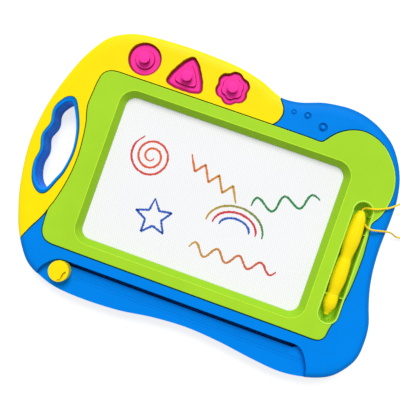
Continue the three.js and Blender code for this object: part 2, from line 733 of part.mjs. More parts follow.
// Cord: from the pen over the board's edge to a coil on the ground, and back to the tray.
// Its routes and its coil are placed from the pen's end, and its seat from the tray's wall beside it,
// with heights from the ground.
const penStretchRoute = [
  [0, 0.4, 22.9], [0.8, 2.9, 23.5], [2.7, 4.5, 25.7], [5.4, 5, 28.5], [9.2, 5.6, 30.5],
  [13.6, 6.9, 30.8], [18.4, 9.1, 30], [23.1, 11.3, 29.6], [27, 13.7, 29], [31.4, 17.1, 27.6],
  [35.6, 20.5, 24.6], [39.4, 22.6, 19.8], [43, 23.1, 13.8], [46.8, 22, 8.2], [51.2, 19.9, 4],
  [56.4, 17.7, 1.7], [61.6, 16.4, 1.15], [65.1, 16.2, 1.15],
];
const anchorStretchRoute = [
  [65.1, -11, 4.15], [61.8, -11.3, 4], [57.4, -12.6, 3.4], [52.8, -13.4, 3.9], [48.4, -13, 6.8],
  [44.8, -12.4, 11.6], [41.6, -12.2, 17], [38, -12.3, 21.8], [33.6, -12.8, 25.6], [28.2, -13.9, 28.2],
  [22.8, -15.2, 29.9], [17.8, -16.4, 31.2], [13.6, -16.9, 31.7],
];
const anchorSeatRoute = [
  [-0.27, -16.3, 30.5], [-1.87, -14.8, 27.2], [-2.02, -13.4, 22.8], [-2.07, -13, 19], [-2.07, -13, 15.6],
];

function fromPen([x, y, height]) {
  return new THREE.Vector3(penPlace.x + x, penPlace.y + y, height);
}

function fromTrayWall([x, y, height]) {
  return new THREE.Vector3(trayPlace.x + trayWidth / 2 + x, penPlace.y + y, height);
}

function anchorSeat() {
  const { x, y } = fromTrayWall(anchorSeatRoute.at(-1));
  return cylinder(anchorRadius + gap, trayFloor - wall / 2, trayFloor + overrun, new THREE.Vector2(x, y), 12);
}

function cordAnchor() {
  const { x, y, z } = fromTrayWall(anchorSeatRoute.at(-1));
  const low = trayFloor - wall / 2 + gap;
  return piece('cord_anchor', cylinder(anchorRadius, low, z - gap, new THREE.Vector2(x, y), 12),
    plastic(colours.cord));
}

function stretch(name, points) {
  const curve = new THREE.CatmullRomCurve3(points, false, 'centripetal');
  const section = new THREE.Shape(circle(cordDiameter / 2, cordSides));
  const steps = Math.round(curve.getLength() / (cordStepShare * cordDiameter));
  const tube = new THREE.ExtrudeGeometry(section, { steps, extrudePath: curve, bevelEnabled: false });
  return piece(name, solid(tube), plastic(colours.cord));
}

// Coil: the lower layer winds in, the upper one winds out, and the climb is in the half turn between them
function coilPath() {
  const steps = coilTurns * coilStepsPerTurn;
  const half = coilTurns / 2;
  const low = cordDiameter / 2 + cordFloorGap;
  const points = [];
  for (let i = 0; i <= steps; i++) {
    const turns = i / coilStepsPerTurn;
    const angle = Math.PI / 2 - turns * 2 * Math.PI;
    const radius = coilRadius - coilPitch * Math.min(turns, half - climbShare, coilTurns - turns);
    const climb = THREE.MathUtils.smoothstep(turns, half - climbShare, half + climbShare);
    points.push(fromPen([coilPlace[0] + radius * Math.cos(angle),
      coilPlace[1] + radius * Math.sin(angle), low + climb * coilPitch]));
  }
  const straight = (end, near) => end.clone().addScaledVector(
    end.clone().sub(near).setZ(0).normalize(), cordDiameter);
  return [straight(points[0], points[1]), ...points, straight(points.at(-1), points.at(-2))];
}

function tubeAlong(points, radius, sides) {
  const tangents = points.map((p, i) => points[Math.min(i + 1, points.length - 1)].clone()
    .sub(points[Math.max(i - 1, 0)]).normalize());
  const up = new THREE.Vector3(0, 0, 1);
  const position = points.flatMap((p, i) => {
    const side = new THREE.Vector3().crossVectors(tangents[i], up).normalize();
    const over = new THREE.Vector3().crossVectors(side, tangents[i]);
    return Array.from({ length: sides }, (_, k) => {
      const turn = (k + 0.5) / sides * 2 * Math.PI;
      return p.clone().addScaledVector(side, radius * Math.cos(turn))
        .addScaledVector(over, radius * Math.sin(turn)).toArray();
    });
  });
  const index = [];
  for (let i = 0; i + 1 < points.length; i++) {
    for (let k = 0; k < sides; k++) {
      const a = i * sides + k;
      const b = i * sides + ((k + 1) % sides);
      index.push(a, b + sides, b, a, a + sides, b + sides);
    }
  }
  const last = (points.length - 1) * sides;
  for (let k = 1; k + 1 < sides; k++) index.push(0, k, k + 1, last, last + k + 1, last + k);
  const geometry = new THREE.BufferGeometry();
  geometry.setAttribute('position', new THREE.Float32BufferAttribute(position.flat(), 3));
  geometry.setIndex(index);
  return solid(geometry);
}

function leastGap(points, diameter, apart) {
  let least = Infinity;
  for (let i = 0; i < points.length; i++) {
    for (let k = i + apart; k < points.length; k++) least = Math.min(least, points[i].distanceTo(points[k]));
  }
  return least - diameter;
}

function cordParts() {
  const coil = coilPath();
  const room = leastGap(coil, cordDiameter, coilStepsPerTurn / 2);
  console.log('coil: least gap to itself', room.toFixed(2), 'mm');
  return [
    cordAnchor(),
    stretch('cord_pen_stretch', penStretchRoute.map(fromPen)),
    piece('cord_coil', tubeAlong(coil, cordDiameter / 2, coilSides), plastic(colours.cord)),
    stretch('cord_anchor_stretch',
      [...anchorStretchRoute.map(fromPen), ...anchorSeatRoute.map(fromTrayWall)]),
  ];
}

const board = new THREE.Group();
board.name = 'magnetic_drawing_board';
board.add(rearCover(), frontFrame(), topPanel(), screenBezel(), ...screenParts(), ...screwMeshes());
board.add(...eraserParts(), ...stampParts(), ...penParts(), ...cordParts());

export default board;
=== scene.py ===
"""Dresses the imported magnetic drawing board: moulded casing, screen, eraser, stamps, pen and cord.

Lengths in the tables are millimetres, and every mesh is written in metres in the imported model's frame.
"""

import math

import bmesh
import bpy
import numpy as np
from mathutils import Matrix, Vector


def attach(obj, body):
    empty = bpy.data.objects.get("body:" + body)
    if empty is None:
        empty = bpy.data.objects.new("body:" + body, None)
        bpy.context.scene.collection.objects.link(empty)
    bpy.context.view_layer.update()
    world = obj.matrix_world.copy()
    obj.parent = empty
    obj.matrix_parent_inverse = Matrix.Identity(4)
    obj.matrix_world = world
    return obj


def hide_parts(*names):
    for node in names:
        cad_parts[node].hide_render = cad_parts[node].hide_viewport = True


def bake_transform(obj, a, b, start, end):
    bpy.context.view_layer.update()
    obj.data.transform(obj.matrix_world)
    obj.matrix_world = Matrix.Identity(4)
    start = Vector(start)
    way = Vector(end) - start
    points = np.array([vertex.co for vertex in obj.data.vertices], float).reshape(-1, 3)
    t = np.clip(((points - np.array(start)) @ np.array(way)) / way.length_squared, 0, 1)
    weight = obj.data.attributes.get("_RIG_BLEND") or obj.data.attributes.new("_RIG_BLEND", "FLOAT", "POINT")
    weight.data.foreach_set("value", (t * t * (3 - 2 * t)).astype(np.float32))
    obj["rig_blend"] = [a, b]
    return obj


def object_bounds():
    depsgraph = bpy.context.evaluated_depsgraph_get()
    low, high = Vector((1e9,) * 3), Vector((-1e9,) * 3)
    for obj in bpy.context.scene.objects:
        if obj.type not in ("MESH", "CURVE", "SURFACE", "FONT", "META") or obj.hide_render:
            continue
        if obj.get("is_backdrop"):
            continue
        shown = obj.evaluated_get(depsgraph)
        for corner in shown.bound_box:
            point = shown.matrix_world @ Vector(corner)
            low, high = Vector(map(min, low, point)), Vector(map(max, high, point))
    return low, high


bl_info = {
    "name": "Magnetic drawing board",
    "version": (1, 0, 0),
    "blender": (4, 5, 0),
    "location": "View3D > Sidebar > Board",
    "description": "Builds the visual model of a magnetic drawing board round its packed frame",
    "category": "Add Mesh",
}

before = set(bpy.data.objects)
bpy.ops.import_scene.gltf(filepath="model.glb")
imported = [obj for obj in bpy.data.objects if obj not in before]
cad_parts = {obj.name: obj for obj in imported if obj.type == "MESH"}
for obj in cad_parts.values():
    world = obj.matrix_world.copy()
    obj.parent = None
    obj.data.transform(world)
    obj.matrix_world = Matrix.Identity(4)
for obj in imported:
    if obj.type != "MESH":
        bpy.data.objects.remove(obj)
CAD_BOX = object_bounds()
MM = 0.001

# Plan: half the screen that shows, and the bands of casing round it
HALF = (132.5, 86.75)
BANDS = ((92.5, 82.5), (68.25, 76))
CORNER = 12

# Moulding, as in the part: the walls, the gap between pieces, and how far a tool reaches past its cut
WALL, GAP, OVER = 2.2, 0.3, 1.0
EDGE_BREAK = 0.25
DRAFT = 0.6
MERGE_DISTANCE = 0.004

# Seams as they are drawn: the widths of their gaps and the rounding of their edges
SEAM_GAP, BEZEL_GAP, RING_GAP = 1.15, 1.25, 0.6
SEAM_ROUNDING = 0.15

# Heights from the ground
COVER_HEIGHT = 9.0
PARTING = COVER_HEIGHT + GAP
DECK_TOP, BOARD_TOP, BEZEL_TOP = 13.7, 26.2, 28.0
LEDGE_TOP, SCREEN_TOP, FLANGE_BOTTOM = 22.5, 19.0, 19.6
TERRACE_TOP, WELL_FLOOR, TRAY_FLOOR = 19.4, 19.2, 13.5

# Rounded rims: profiles as shares of their sizes, the casing's as (inset, drop), the cover's as (inset, rise)
RIM_INSET, RIM_ROUNDING = 14.0, 12.2
RIM = ((0, 0.62), (0.02, 0.4), (0.11, 0.22), (0.4, 0.07), (1, 0))
COVER_ROUNDING = 3.0
COVER_RIM = ((1, 0), (0.4, 0.25), (0.1, 1))

# The hollow follows every third ring of the rim
HOLLOW_STEP = 3

# Heights of the painted shade down the blue's rim and walls: it starts at the first, is full at the second
# and ends at the third
RIM_SHADE = (BOARD_TOP - 0.3, BOARD_TOP - 1.5, TERRACE_TOP + 0.2)

# Bezel and the lip round the grip
LEDGE_WIDTH, SLOPE_WIDTH = 4.0, 5.75
FLANGE_WIDTH, FLANGE_ROUNDING = 7.2, 5
SLOPE_BEAD_PLACE, SLOPE_BEAD_DROP = 0.9, 0.38
LOBE_BEAD, LOBE_BEAD_INSET, LOBE_BEAD_DROP = 0.75, 0.7, 0.5
LIP_WIDTH, LIP_END_WIDTH, LIP_RISE, LIP_ROUNDING = 3.0, 6.0, 0.7, 0.7
GRIP_ROUNDING = 2.3
TRAY_WIDTH, TRAY_LENGTH = 20.8, 127.0
FINGER_RADIUS = 10.5

# Screws with their bosses, and the strips on the rear cover that the slider runs on
SCREW_HEAD, SCREW_SHANK, SCREW_LENGTH, RECESS = 3.0, 1.2, 12.0, 3.2
HEAD_DEPTH = 2.0
DRIVE_SIZE, DRIVE_TURN = (3.4, 0.75, 1.8), 0.5
BOSS_WALL, POST_RADIUS = 1.6, 3.6
RUNNER_WIDTH, RUNNER_RISE, GUIDE_RISE = 2.4, 5.1, 4.5
RUNNER_PLACE, RUNNER_REACH = HALF[1] + 5, 13

# Painted light on faces, where an open face gives 1: below 1 is painted shade, above 1 a painted highlight or
# bounce light
# Painted shade on the walls of the seams and of the eraser's slot
SEAM_TONE = 0.3
# Painted shade on the grip's lip and in the stamps' wells, painted bounce light on the grip's walls
LIP_TONE, GRIP_TONE, WELL_TONE = 0.75, 1.15, 0.5
# Painted shade on the screen's slopes, deeper on those turned from the sun; painted highlight on beads;
# painted light in the finger well
SLOPE_TONE, SLOPE_SHADE, BEAD_TONE, FINGER_TONE = 0.88, 0.05, 1.28, 1.2
# Painted shade in the dots' grooves and round their domes, painted highlight on the domes' tops
GROOVE_TONE, DOME_TONE, DOME_TOP_TONE = 0.85, 0.85, 1.2
# Painted shade in the knob's crease, paler towards its end
CREASE_TONE, CREASE_END_TONE = 0.66, 0.84
# Painted shade on the stamps' sides, bevels, moats, tier steps and handle sides
SIDE_TONE, BEVEL_TONE, MOAT_TONE, STEP_TONE, WAIST_TONE = 0.45, 0.66, 0.5, 0.6, 0.35

# Outlines and places as shares: 1 is the edge of the screen that shows, 2 the edge of the board
OUTLINE = (
    (-2, 0.06), (-1.973, 0.353), (-1.933, 0.588), (-1.837, 0.94), (-1.706, 1.331), (-1.576, 1.595),
    (-1.481, 1.735), (-1.298, 1.869), (-1.122, 1.936), (-0.924, 1.968), (-0.616, 1.986), (-0.386, 1.974),
    (-0.155, 1.942), (0.075, 1.847), (0.167, 1.778), (0.229, 1.734), (0.262, 1.714), (0.305, 1.709),
    (0.382, 1.72), (0.459, 1.748), (0.613, 1.841), (0.736, 1.877), (0.859, 1.892), (0.997, 1.859),
    (1.242, 1.754), (1.489, 1.561), (1.698, 1.199), (1.779, 0.869), (1.789, 0.588), (1.774, 0.177),
    (1.79, -0.116), (1.828, -0.351), (1.896, -0.586), (1.98, -0.821), (2, -1.07), (1.97, -1.369),
    (1.823, -1.654), (1.68, -1.805), (1.402, -1.935), (1.057, -1.998), (0.766, -1.959), (0.459, -1.881),
    (0.152, -1.844), (-0.155, -1.883), (-0.463, -1.972), (-0.832, -1.999), (-1.089, -1.965),
    (-1.276, -1.891), (-1.496, -1.741), (-1.639, -1.518), (-1.767, -1.219), (-1.849, -0.938),
    (-1.915, -0.703), (-1.958, -0.468), (-1.988, -0.234),
)
BEZEL = (
    (-1.04, 1.257), (-1.243, 1.253), (-1.319, 1.227), (-1.379, 1.161), (-1.405, 1.043), (-1.419, 0.865),
    (-1.427, 0.692), (-1.405, 0.576), (-1.373, 0.461), (-1.341, 0.231), (-1.326, 0), (-1.336, -0.231),
    (-1.37, -0.461), (-1.424, -0.692), (-1.455, -0.784), (-1.459, -0.922), (-1.443, -1.106),
    (-1.416, -1.179), (-1.373, -1.238), (-1.297, -1.27), (-1.135, -1.275), (1.12, -1.275), (1.323, -1.275),
    (1.394, -1.253), (1.442, -1.187), (1.462, -1.048), (1.488, -0.922), (1.522, -0.692), (1.555, -0.461),
    (1.572, 0), (1.564, 0.115), (1.545, 0.346), (1.535, 0.42), (1.555, 0.468), (1.612, 0.553),
    (1.66, 0.7), (1.678, 0.876), (1.656, 1.03), (1.62, 1.145), (1.56, 1.263), (1.462, 1.394),
    (1.36, 1.492), (1.234, 1.565), (1.046, 1.605), (0.93, 1.572), (0.862, 1.513), (0.802, 1.43),
    (0.76, 1.343), (0.738, 1.29), (0.725, 1.266), (0.706, 1.253), (0.672, 1.253), (0.6, 1.257),
)
GRIP = (
    (-1.649, 0.724), (-1.6, 0.703), (-1.557, 0.634), (-1.47, 0.438), (-1.427, 0.288), (-1.398, 0.023),
    (-1.438, -0.288), (-1.481, -0.403), (-1.557, -0.588), (-1.6, -0.628), (-1.643, -0.634),
    (-1.708, -0.599), (-1.773, -0.519), (-1.816, -0.403), (-1.835, -0.254), (-1.811, -0.092),
    (-1.856, 0.115), (-1.8, 0.3), (-1.827, 0.461), (-1.811, 0.553), (-1.773, 0.622), (-1.719, 0.692),
)
TOP_SEAM = (
    (0.262, 2.4), (0.262, 1.7), (0.287, 1.627), (0.31, 1.568), (0.325, 1.482), (0.321, 1.416),
    (0.306, 1.343), (0.28, 1.284), (0.262, 1.245), (0.25, 1.05),
)
LEFT_SEAM = (
    (-1.15, -0.7), (-1.466, -0.809), (-1.482, -0.855), (-1.531, -0.971), (-1.585, -1.095),
    (-1.628, -1.213), (-1.672, -1.338), (-1.73, -1.516),
)
SEAM_FAR = 2.6
TERRACE = (
    (-1.4, -2.4), (-1.343, -1.81), (-1.31, -1.7), (-1.25, -1.6), (-1.18, -1.52), (-1.1, -1.475),
    (-0.9, -1.471), (0.9, -1.471), (1.15, -1.474), (1.224, -1.525), (1.285, -1.617), (1.334, -1.72),
    (1.362, -1.81), (1.45, -2.4),
)

# Stamps and their wells
STAMPS = ((-0.964, 1.583), (-0.563, 1.534), (-0.157, 1.592))
WELL_RADIUS = 19.1
TRIANGLE, TRIANGLE_LOBES = 19.6, (0.1735, 0.0373, 0.0144, 0.0127)
FLOWER, FLOWER_LOBES = 18.75, (0.06, -0.013)
FLANGE_RISE, TIER_RISE = 3.2, 5.7
HANDLE = ((6.3, -0.6), (6.1, 0.2), (5.95, 1.6), (6.05, 3.4), (6.4, 4.8), (6.45, 5.5), (5.8, 6.15))
HANDLE_CROWN = ((4.4, 6.25), (1.7, 6.3), (0.2, 6.3))
PLATE_INSET, PLATE_SHARE, PLATE_RECESS = 0.75, 0.765, 1.7

# Each stamp's name, its inset from the well's wall, its bevel's width and fall, and its tier's share of it
STAMP_KINDS = (
    ("circle", 0.45, 0.6, 0.5, 0.585), ("triangle", 0.6, 1.9, 1.2, 0.586), ("flower", 0.65, 0.8, 0.6, 0.663),
)

# Moulded dots
DOTS = ((0.408, 1.55), (0.529, 1.563), (0.684, 1.471))
DOT_RADII = (3.2, 4.2, 5.4)

# Eraser's knob and its track on the terrace
KNOB = (-1.071, -1.667)
KNOB_RADIUS, KNOB_HEIGHT, KNOB_WALL, KNOB_CROWN = 12.2, 10.4, 1.0, 0.25
KNOB_DOME = ((0.8, 0.09), (0.6, 0.17), (0.4, 0.22), (0.2, 0.25), (0.04, 0.25))
CREASE = ((8.7, 1.9), (6.5, -0.9), (6.0, -3.9), (5.8, -6.4), (4.6, -9.0), (1.9, -10.3))
CREASE_RADIUS, CREASE_DEPTH = 1.25, 0.5
NECK_HALF, NECK_DEPTH = 3.2, 1.8
ERASER_TRAVEL = 276
SLOT_SHARE, SLOT_TIP = -1.481, (8, 4.4)

# Scored lines along the terrace as (place, painted shade), and the painted shadow on its fall towards the
# slot by the distance from it
SCORE_LINES = ((-134.0, 0.8), (-137.2, 0.88))
SCORE_RADIUS, SCORE_RISE, SCORE_ENDS = 1.3, 1.14, (-122, 158)
FALL_DEPTH, FALL_FADE = 0.07, 6
FALL_PLACES, FALL_TONES = (0.0, 1.2, 2.4, 5.0, 12.0), (0.72, 0.76, 0.8, 0.88, 0.94)

# Where the bead round the bezel's lobe starts, and the places of the pen, its tray, ribs and screws
LOBE_START = (160, 30)
PEN = (1.3745, 0.552)
TRAY = (1.379, 0.5)
FINGER_WELL = (1.376, 0.547)
RIBS, RIB_HEIGHT, RIB_OUTER = ((0.261, 9.0), (-0.602, 6.9)), 8.0, 0.8
ANCHOR_RADIUS = 1.7
SCREWS = (
    (-1.47, 1.46), (-0.36, 1.74), (-1.64, -0.96), (0.47, 1.37), (1.655, -0.1), (1.57, -1.45),
    (-1.42, -1.52), (1.21, 1.38),
)

# The screw that goes into a post of the bezel
POST_SCREW = 7

# Cord: route points measured from the pen's end, heights from the ground
CORD_DIAMETER = 2.2
PEN_ROUTE = (
    (0, 0.4, 22.9), (0.8, 2.9, 23.5), (2.7, 4.5, 25.7), (5.4, 5, 28.5), (9.2, 5.6, 30.5),
    (13.6, 6.9, 30.8), (18.4, 9.1, 30), (23.1, 11.3, 29.6), (27, 13.7, 29), (31.4, 17.1, 27.6),
    (35.6, 20.5, 24.6), (39.4, 22.6, 19.8), (43, 23.1, 13.8), (46.8, 22, 8.2), (51.2, 19.9, 4),
    (56.4, 17.7, 1.7), (61.6, 16.4, 1.15), (65.1, 16.2, 1.15),
)
ANCHOR_ROUTE = (
    (65.1, -11, 4.15), (61.8, -11.3, 4), (57.4, -12.6, 3.4), (52.8, -13.4, 3.9), (48.4, -13, 6.8),
    (44.8, -12.4, 11.6), (41.6, -12.2, 17), (38, -12.3, 21.8), (33.6, -12.8, 25.6), (28.2, -13.9, 28.2),
    (22.8, -15.2, 29.9), (17.8, -16.4, 31.2), (13.6, -16.9, 31.7), (10.5, -16.3, 30.5),
    (8.9, -14.8, 27.2), (8.75, -13.4, 22.8), (8.7, -13, 19), (8.7, -13, 15.6),
)
COIL_PLACE = (67.54, 2.6)
COIL_RADIUS, COIL_PITCH, COIL_TURNS, CLIMB = 13.6, 3.0, 3.5, 0.25
FLOOR_GAP = 0.05

# Pen: stations along its length and radii, as shares, from the cord end to the tip
PEN_LENGTH, PEN_RADIUS = 123.0, 9.07
PEN_AXIS = TRAY_FLOOR + GAP + PEN_RADIUS
SPIGOT_RADIUS, SPIGOT_LENGTH = 4, 8
PLUG_RADIUS, PLUG_DEPTH, TIP_RADIUS, TIP_DEPTH = 2.9, 4.3, 2.1, 12.3
BARREL = (
    (0, 0.34), (0.008, 0.4), (0.03, 0.56), (0.06, 0.74), (0.1, 0.85), (0.16, 0.94), (0.23, 1), (0.3, 0.99),
    (0.36, 0.9), (0.4, 0.82), (0.45, 0.74), (0.5, 0.83), (0.55, 0.9), (0.62, 0.945), (0.66, 0.94),
    (0.71, 0.88), (0.76, 0.77), (0.7985, 0.7),
)
NOSE = ((0.799, 0.7), (0.84, 0.81), (0.88, 0.85), (0.92, 0.76), (0.96, 0.51), (0.985, 0.34), (1, 0.28))

# The photograph's camera, found from the screen's corners: turns in radians, place in metres
CAMERA_TURNS = ((-0.02192, "X"), (-0.04428, "Y"), (-0.34060, "Z"))
CAMERA_PLACE = (0.0140718, -0.0038935, -0.5728)
CAMERA_LENS, CAMERA_SENSOR = 43.2, 36

# Light: the sky's and the sun's strength, the sun's width in degrees and its place; the floor's grey and glow
SKY_LIGHT, SUN_LIGHT, SUN_ANGLE, SUN_PLACE = 0.47, 2.4, 32, (-0.10, 0.66, 0.74)
FLOOR_GREY, FLOOR_GLOW = 0.42, 0.72

# Drawn strokes: the spacing of their points, their unevenness, and how they widen from their ends
STROKE_STEP, STROKE_UNEVEN = 0.8, 0.12
STROKE_TAPER, STROKE_END = 6, 0.55

# Their heights over the sheet, each stroke a little higher than the one before
STROKE_BOTTOM, STROKE_TOP, STROKE_LAYER = 0.005, 0.03, 0.004

# Inks of the drawn lines
RED, ORANGE, OLIVE = (0.6, 0.02, 0.04), (0.76, 0.11, 0.015), (0.52, 0.31, 0.01)
GREEN, BLUE = (0.005, 0.22, 0.05), (0.004, 0.085, 0.47)


def spiral(centre, radius, turns, start):
    steps = round(turns * 10)
    points = []
    for i in range(steps + 1):
        angle = start + 2 * math.pi * turns * i / steps
        reach = radius * (1 - 0.85 * i / steps)
        points.append((centre[0] + reach * math.cos(angle), centre[1] + reach * math.sin(angle)))
    return points


def wave(start, end, swing, waves):
    (x0, y0), (x1, y1) = start, end
    steps = round(waves * 8)
    across = Vector((y0 - y1, x1 - x0)).normalized()
    points = []
    for i in range(steps + 1):
        share = i / steps
        lift = swing * math.sin(2 * math.pi * waves * share) * (1 - 0.25 * share)
        points.append((x0 + (x1 - x0) * share + across.x * lift, y0 + (y1 - y0) * share + across.y * lift))
    return points


def arch(centre, radius, height):
    steps = 12
    angles = [math.pi * (1 - i / steps) for i in range(steps + 1)]
    return [(centre[0] + radius * math.cos(a), centre[1] + height * math.sin(a)) for a in angles]


def star(centre, radius, turn):
    corners = []
    for i in range(11):
        reach = radius if i % 2 == 0 else radius * 0.45
        angle = turn + i * math.pi / 5
        corners.append((centre[0] + reach * math.cos(angle), centre[1] + reach * math.sin(angle)))
    return corners


def drawing():
    """Strokes as (points in millimetres, rounded, ink at the start, ink at the end)."""
    zigzag = [(-40 + 9.5 * i, 46 - 3.2 * i + (-15 if i % 2 else 0)) for i in range(8)]
    return (
        (spiral((-84, 28), 25, 2.6, 2.2), True, RED, ORANGE),
        (zigzag, False, ORANGE, OLIVE),
        (wave((44, 12), (116, 44), 9, 2.5), True, GREEN, GREEN),
        (star((-58, -38), 22, 1.8), False, BLUE, BLUE),
        (arch((34, -20), 34, 26), True, OLIVE, GREEN),
        (arch((34, -20), 26, 19), True, RED, RED),
        (arch((34, -20), 18, 12), True, BLUE, BLUE),
        (wave((-8, -56), (96, -50), 7, 4), True, OLIVE, RED),
    )


# Plan and outline helpers
def along(share, half, bands):
    if abs(share) <= 1:
        return share * half
    return math.copysign(half + (abs(share) - 1) * bands[share > 0], share)


def plan(shares):
    return np.array([along(share, half, bands) for share, half, bands in zip(shares, HALF, BANDS)])


def spline(points, steps, closed=True):
    """Points on a centripetal Catmull-Rom curve."""
    points = np.asarray(points, float)
    if closed:
        ring, spans = np.vstack([points[-1:], points, points[:2]]), len(points)
    else:
        ends = 2 * points[0] - points[1], 2 * points[-1] - points[-2]
        ring, spans = np.vstack([ends[0][None], points, ends[1][None]]), len(points) - 1
    t = np.linspace(0, 1, steps, endpoint=False)[:, None]
    made = []
    for i in range(spans):
        p0, p1, p2, p3 = ring[i : i + 4]
        d0, d1, d2 = (max(np.linalg.norm(b - a) ** 0.5, 1e-6) for a, b in ((p0, p1), (p1, p2), (p2, p3)))
        m1 = ((p1 - p0) / d0 - (p2 - p0) / (d0 + d1) + (p2 - p1) / d1) * d1
        m2 = ((p2 - p1) / d1 - (p3 - p1) / (d1 + d2) + (p3 - p2) / d2) * d1
        made.append(p1 + m1 * t + (3 * (p2 - p1) - 2 * m1 - m2) * t**2 + (2 * (p1 - p2) + m1 + m2) * t**3)
    if not closed:
        made.append(points[-1:])
    return np.vstack(made)


def anticlockwise(points):
    after = np.roll(points, -1, axis=0)
    area = (points[:, 0] * after[:, 1] - after[:, 0] * points[:, 1]).sum()
    return points if area > 0 else points[::-1].copy()


def evened(points, spacing):
    """A closed line with its points at equal distances."""
    loop = np.vstack([points, points[:1]])
    reach = np.concatenate([[0], np.cumsum(np.linalg.norm(np.diff(loop, axis=0), axis=1))])
    at = np.linspace(0, reach[-1], round(reach[-1] / spacing), endpoint=False)
    return np.column_stack([np.interp(at, reach, loop[:, k]) for k in range(loop.shape[1])])


def evened_open(points, spacing):
    """An open line with its points at equal distances, both ends kept."""
    reach = np.concatenate([[0], np.cumsum(np.linalg.norm(np.diff(points, axis=0), axis=1))])
    at = np.linspace(0, reach[-1], round(reach[-1] / spacing) + 1)
    return np.column_stack([np.interp(at, reach, points[:, k]) for k in range(points.shape[1])])


def calmed(points, passes):
    for _ in range(passes):
        points = points / 2 + (np.roll(points, 1, axis=0) + np.roll(points, -1, axis=0)) / 4
    return points


def smooth_outline(shares, spacing=2.2, passes=3):
    points = spline([plan(s) for s in shares], 12)
    return calmed(evened(anticlockwise(points), spacing), passes)


def grow(points, distance):
    before, after = points - np.roll(points, 1, axis=0), np.roll(points, -1, axis=0) - points
    before = before / np.linalg.norm(before, axis=1, keepdims=True)
    after = after / np.linalg.norm(after, axis=1, keepdims=True)
    normal = np.column_stack([before[:, 1] + after[:, 1], -before[:, 0] - after[:, 0]])
    normal /= np.linalg.norm(normal, axis=1, keepdims=True)
    stretch = np.maximum(normal[:, 0] * before[:, 1] - normal[:, 1] * before[:, 0], 0.6)
    return points + normal * (distance / stretch)[:, None]


def circle(radius, segments, centre=(0, 0)):
    angles = np.arange(segments) * 2 * math.pi / segments
    return np.column_stack([centre[0] + radius * np.cos(angles), centre[1] + radius * np.sin(angles)])


def rounded_rectangle(half_x, half_y, radius, steps=10):
    points = []
    for quarter, (side_x, side_y) in enumerate(((1, 1), (-1, 1), (-1, -1), (1, -1))):
        x, y = side_x * (half_x - radius), side_y * (half_y - radius)
        for i in range(steps + 1):
            angle = (quarter + i / steps) * math.pi / 2
            points.append((x + radius * math.cos(angle), y + radius * math.sin(angle)))
    return np.array(points)


# Edge profiles as (inset, height) pairs, upwards
def top_edge(top, radius, steps):
    """A wall's top rounded inwards."""
    turns = [i / steps * math.pi / 2 for i in range(steps + 1)]
    return [(radius * (1 - math.cos(t)), top - radius * (1 - math.sin(t))) for t in turns]


def foot(floor, radius, steps=4):
    """A pocket's floor rounded up into its wall."""
    turns = [i / steps * math.pi / 2 for i in range(steps + 1)]
    return [(radius * (1 - math.sin(t)), floor + radius * (1 - math.cos(t))) for t in turns]


def mouth(top, radius, steps=3):
    """A pocket's wall rounded outwards at the surface round it, then straight up past it."""
    turns = [i / steps * math.pi / 2 for i in range(steps + 1)]
    edge = [(-radius * (1 - math.cos(t)), top - radius * (1 - math.sin(t))) for t in turns]
    return [*edge, (-radius, top + OVER)]


# Meshes
def new_object(name, vertices, faces):
    mesh = bpy.data.meshes.new(name)
    mesh.from_pydata([tuple(v) for v in np.asarray(vertices, float) * MM], [], faces)
    made = bpy.data.objects.new(name, mesh)
    bpy.context.scene.collection.objects.link(made)
    return with_painted_light(made, 1.0)


def with_painted_light(obj, rule):
    """Gives each face its painted light, a scale of its colour, below 1 for painted shade and above 1 for a
    painted highlight: a number, or a rule of its middle in mm and normal.
    """
    faces, attributes = obj.data.polygons, obj.data.attributes
    painted_light = attributes.get("painted_light") or attributes.new("painted_light", "FLOAT", "FACE")
    painted_light.data.foreach_set("value", [rule(f.center / MM, f.normal) if callable(rule) else rule for f in faces])
    return obj


def stepped(*steps):
    """A rule of painted light: below each step's height its painted shade, and 1 above them all."""

    def rule(middle, _):
        return next((painted_light for height, painted_light in steps if middle.z < height), 1.0)

    return rule


def skin(layers):
    """A closed form through rings of points that are equal in number, from the lowest up."""
    count, last = len(layers[0]), len(layers) - 1
    faces = [list(range(count))[::-1], [last * count + i for i in range(count)]]
    for k in range(last):
        for i in range(count):
            a, b = k * count + i, k * count + (i + 1) % count
            faces.append((a, b, b + count, a + count))
    return new_object("form", np.vstack(layers), faces)


def loft(points, rings):
    """A closed form through copies of one outline, each at its own inset and height."""
    return skin([np.column_stack([grow(points, -inset), np.full(len(points), z)]) for inset, z in rings])


def prism(points, low, high):
    return loft(points, ((0, low), (0, high)))


def box(x0, x1, y0, y1, z0, z1):
    return prism(np.array([(x0, y0), (x1, y0), (x1, y1), (x0, y1)]), z0, z1)


def turned(profile, segments, shape=None):
    """A closed form turned about Z from (radius, height) pairs, upwards; shape scales the radius by angle."""
    angles = np.arange(segments) * 2 * math.pi / segments
    scale = np.ones(segments) if shape is None else np.array([shape(a) for a in angles])
    layers = []
    for radius, height in profile:
        reach, level = radius * scale, np.full(segments, height)
        layers.append(np.column_stack([reach * np.cos(angles), reach * np.sin(angles), level]))
    return skin(layers)


def moved(obj, x, y, z=0.0, turn=None):
    if turn is not None:
        obj.data.transform(turn)
    obj.data.transform(Matrix.Translation(Vector((x, y, z)) * MM))
    return obj


def settled(obj):
    """The object with its modifiers worked into its mesh."""
    graph = bpy.context.evaluated_depsgraph_get()
    mesh = bpy.data.meshes.new_from_object(obj.evaluated_get(graph), depsgraph=graph)
    old = obj.data
    obj.modifiers.clear()
    obj.data = mesh
    bpy.data.meshes.remove(old)
    return obj


def removed(obj):
    mesh = obj.data
    bpy.data.objects.remove(obj)
    if mesh.users == 0:
        bpy.data.meshes.remove(mesh)


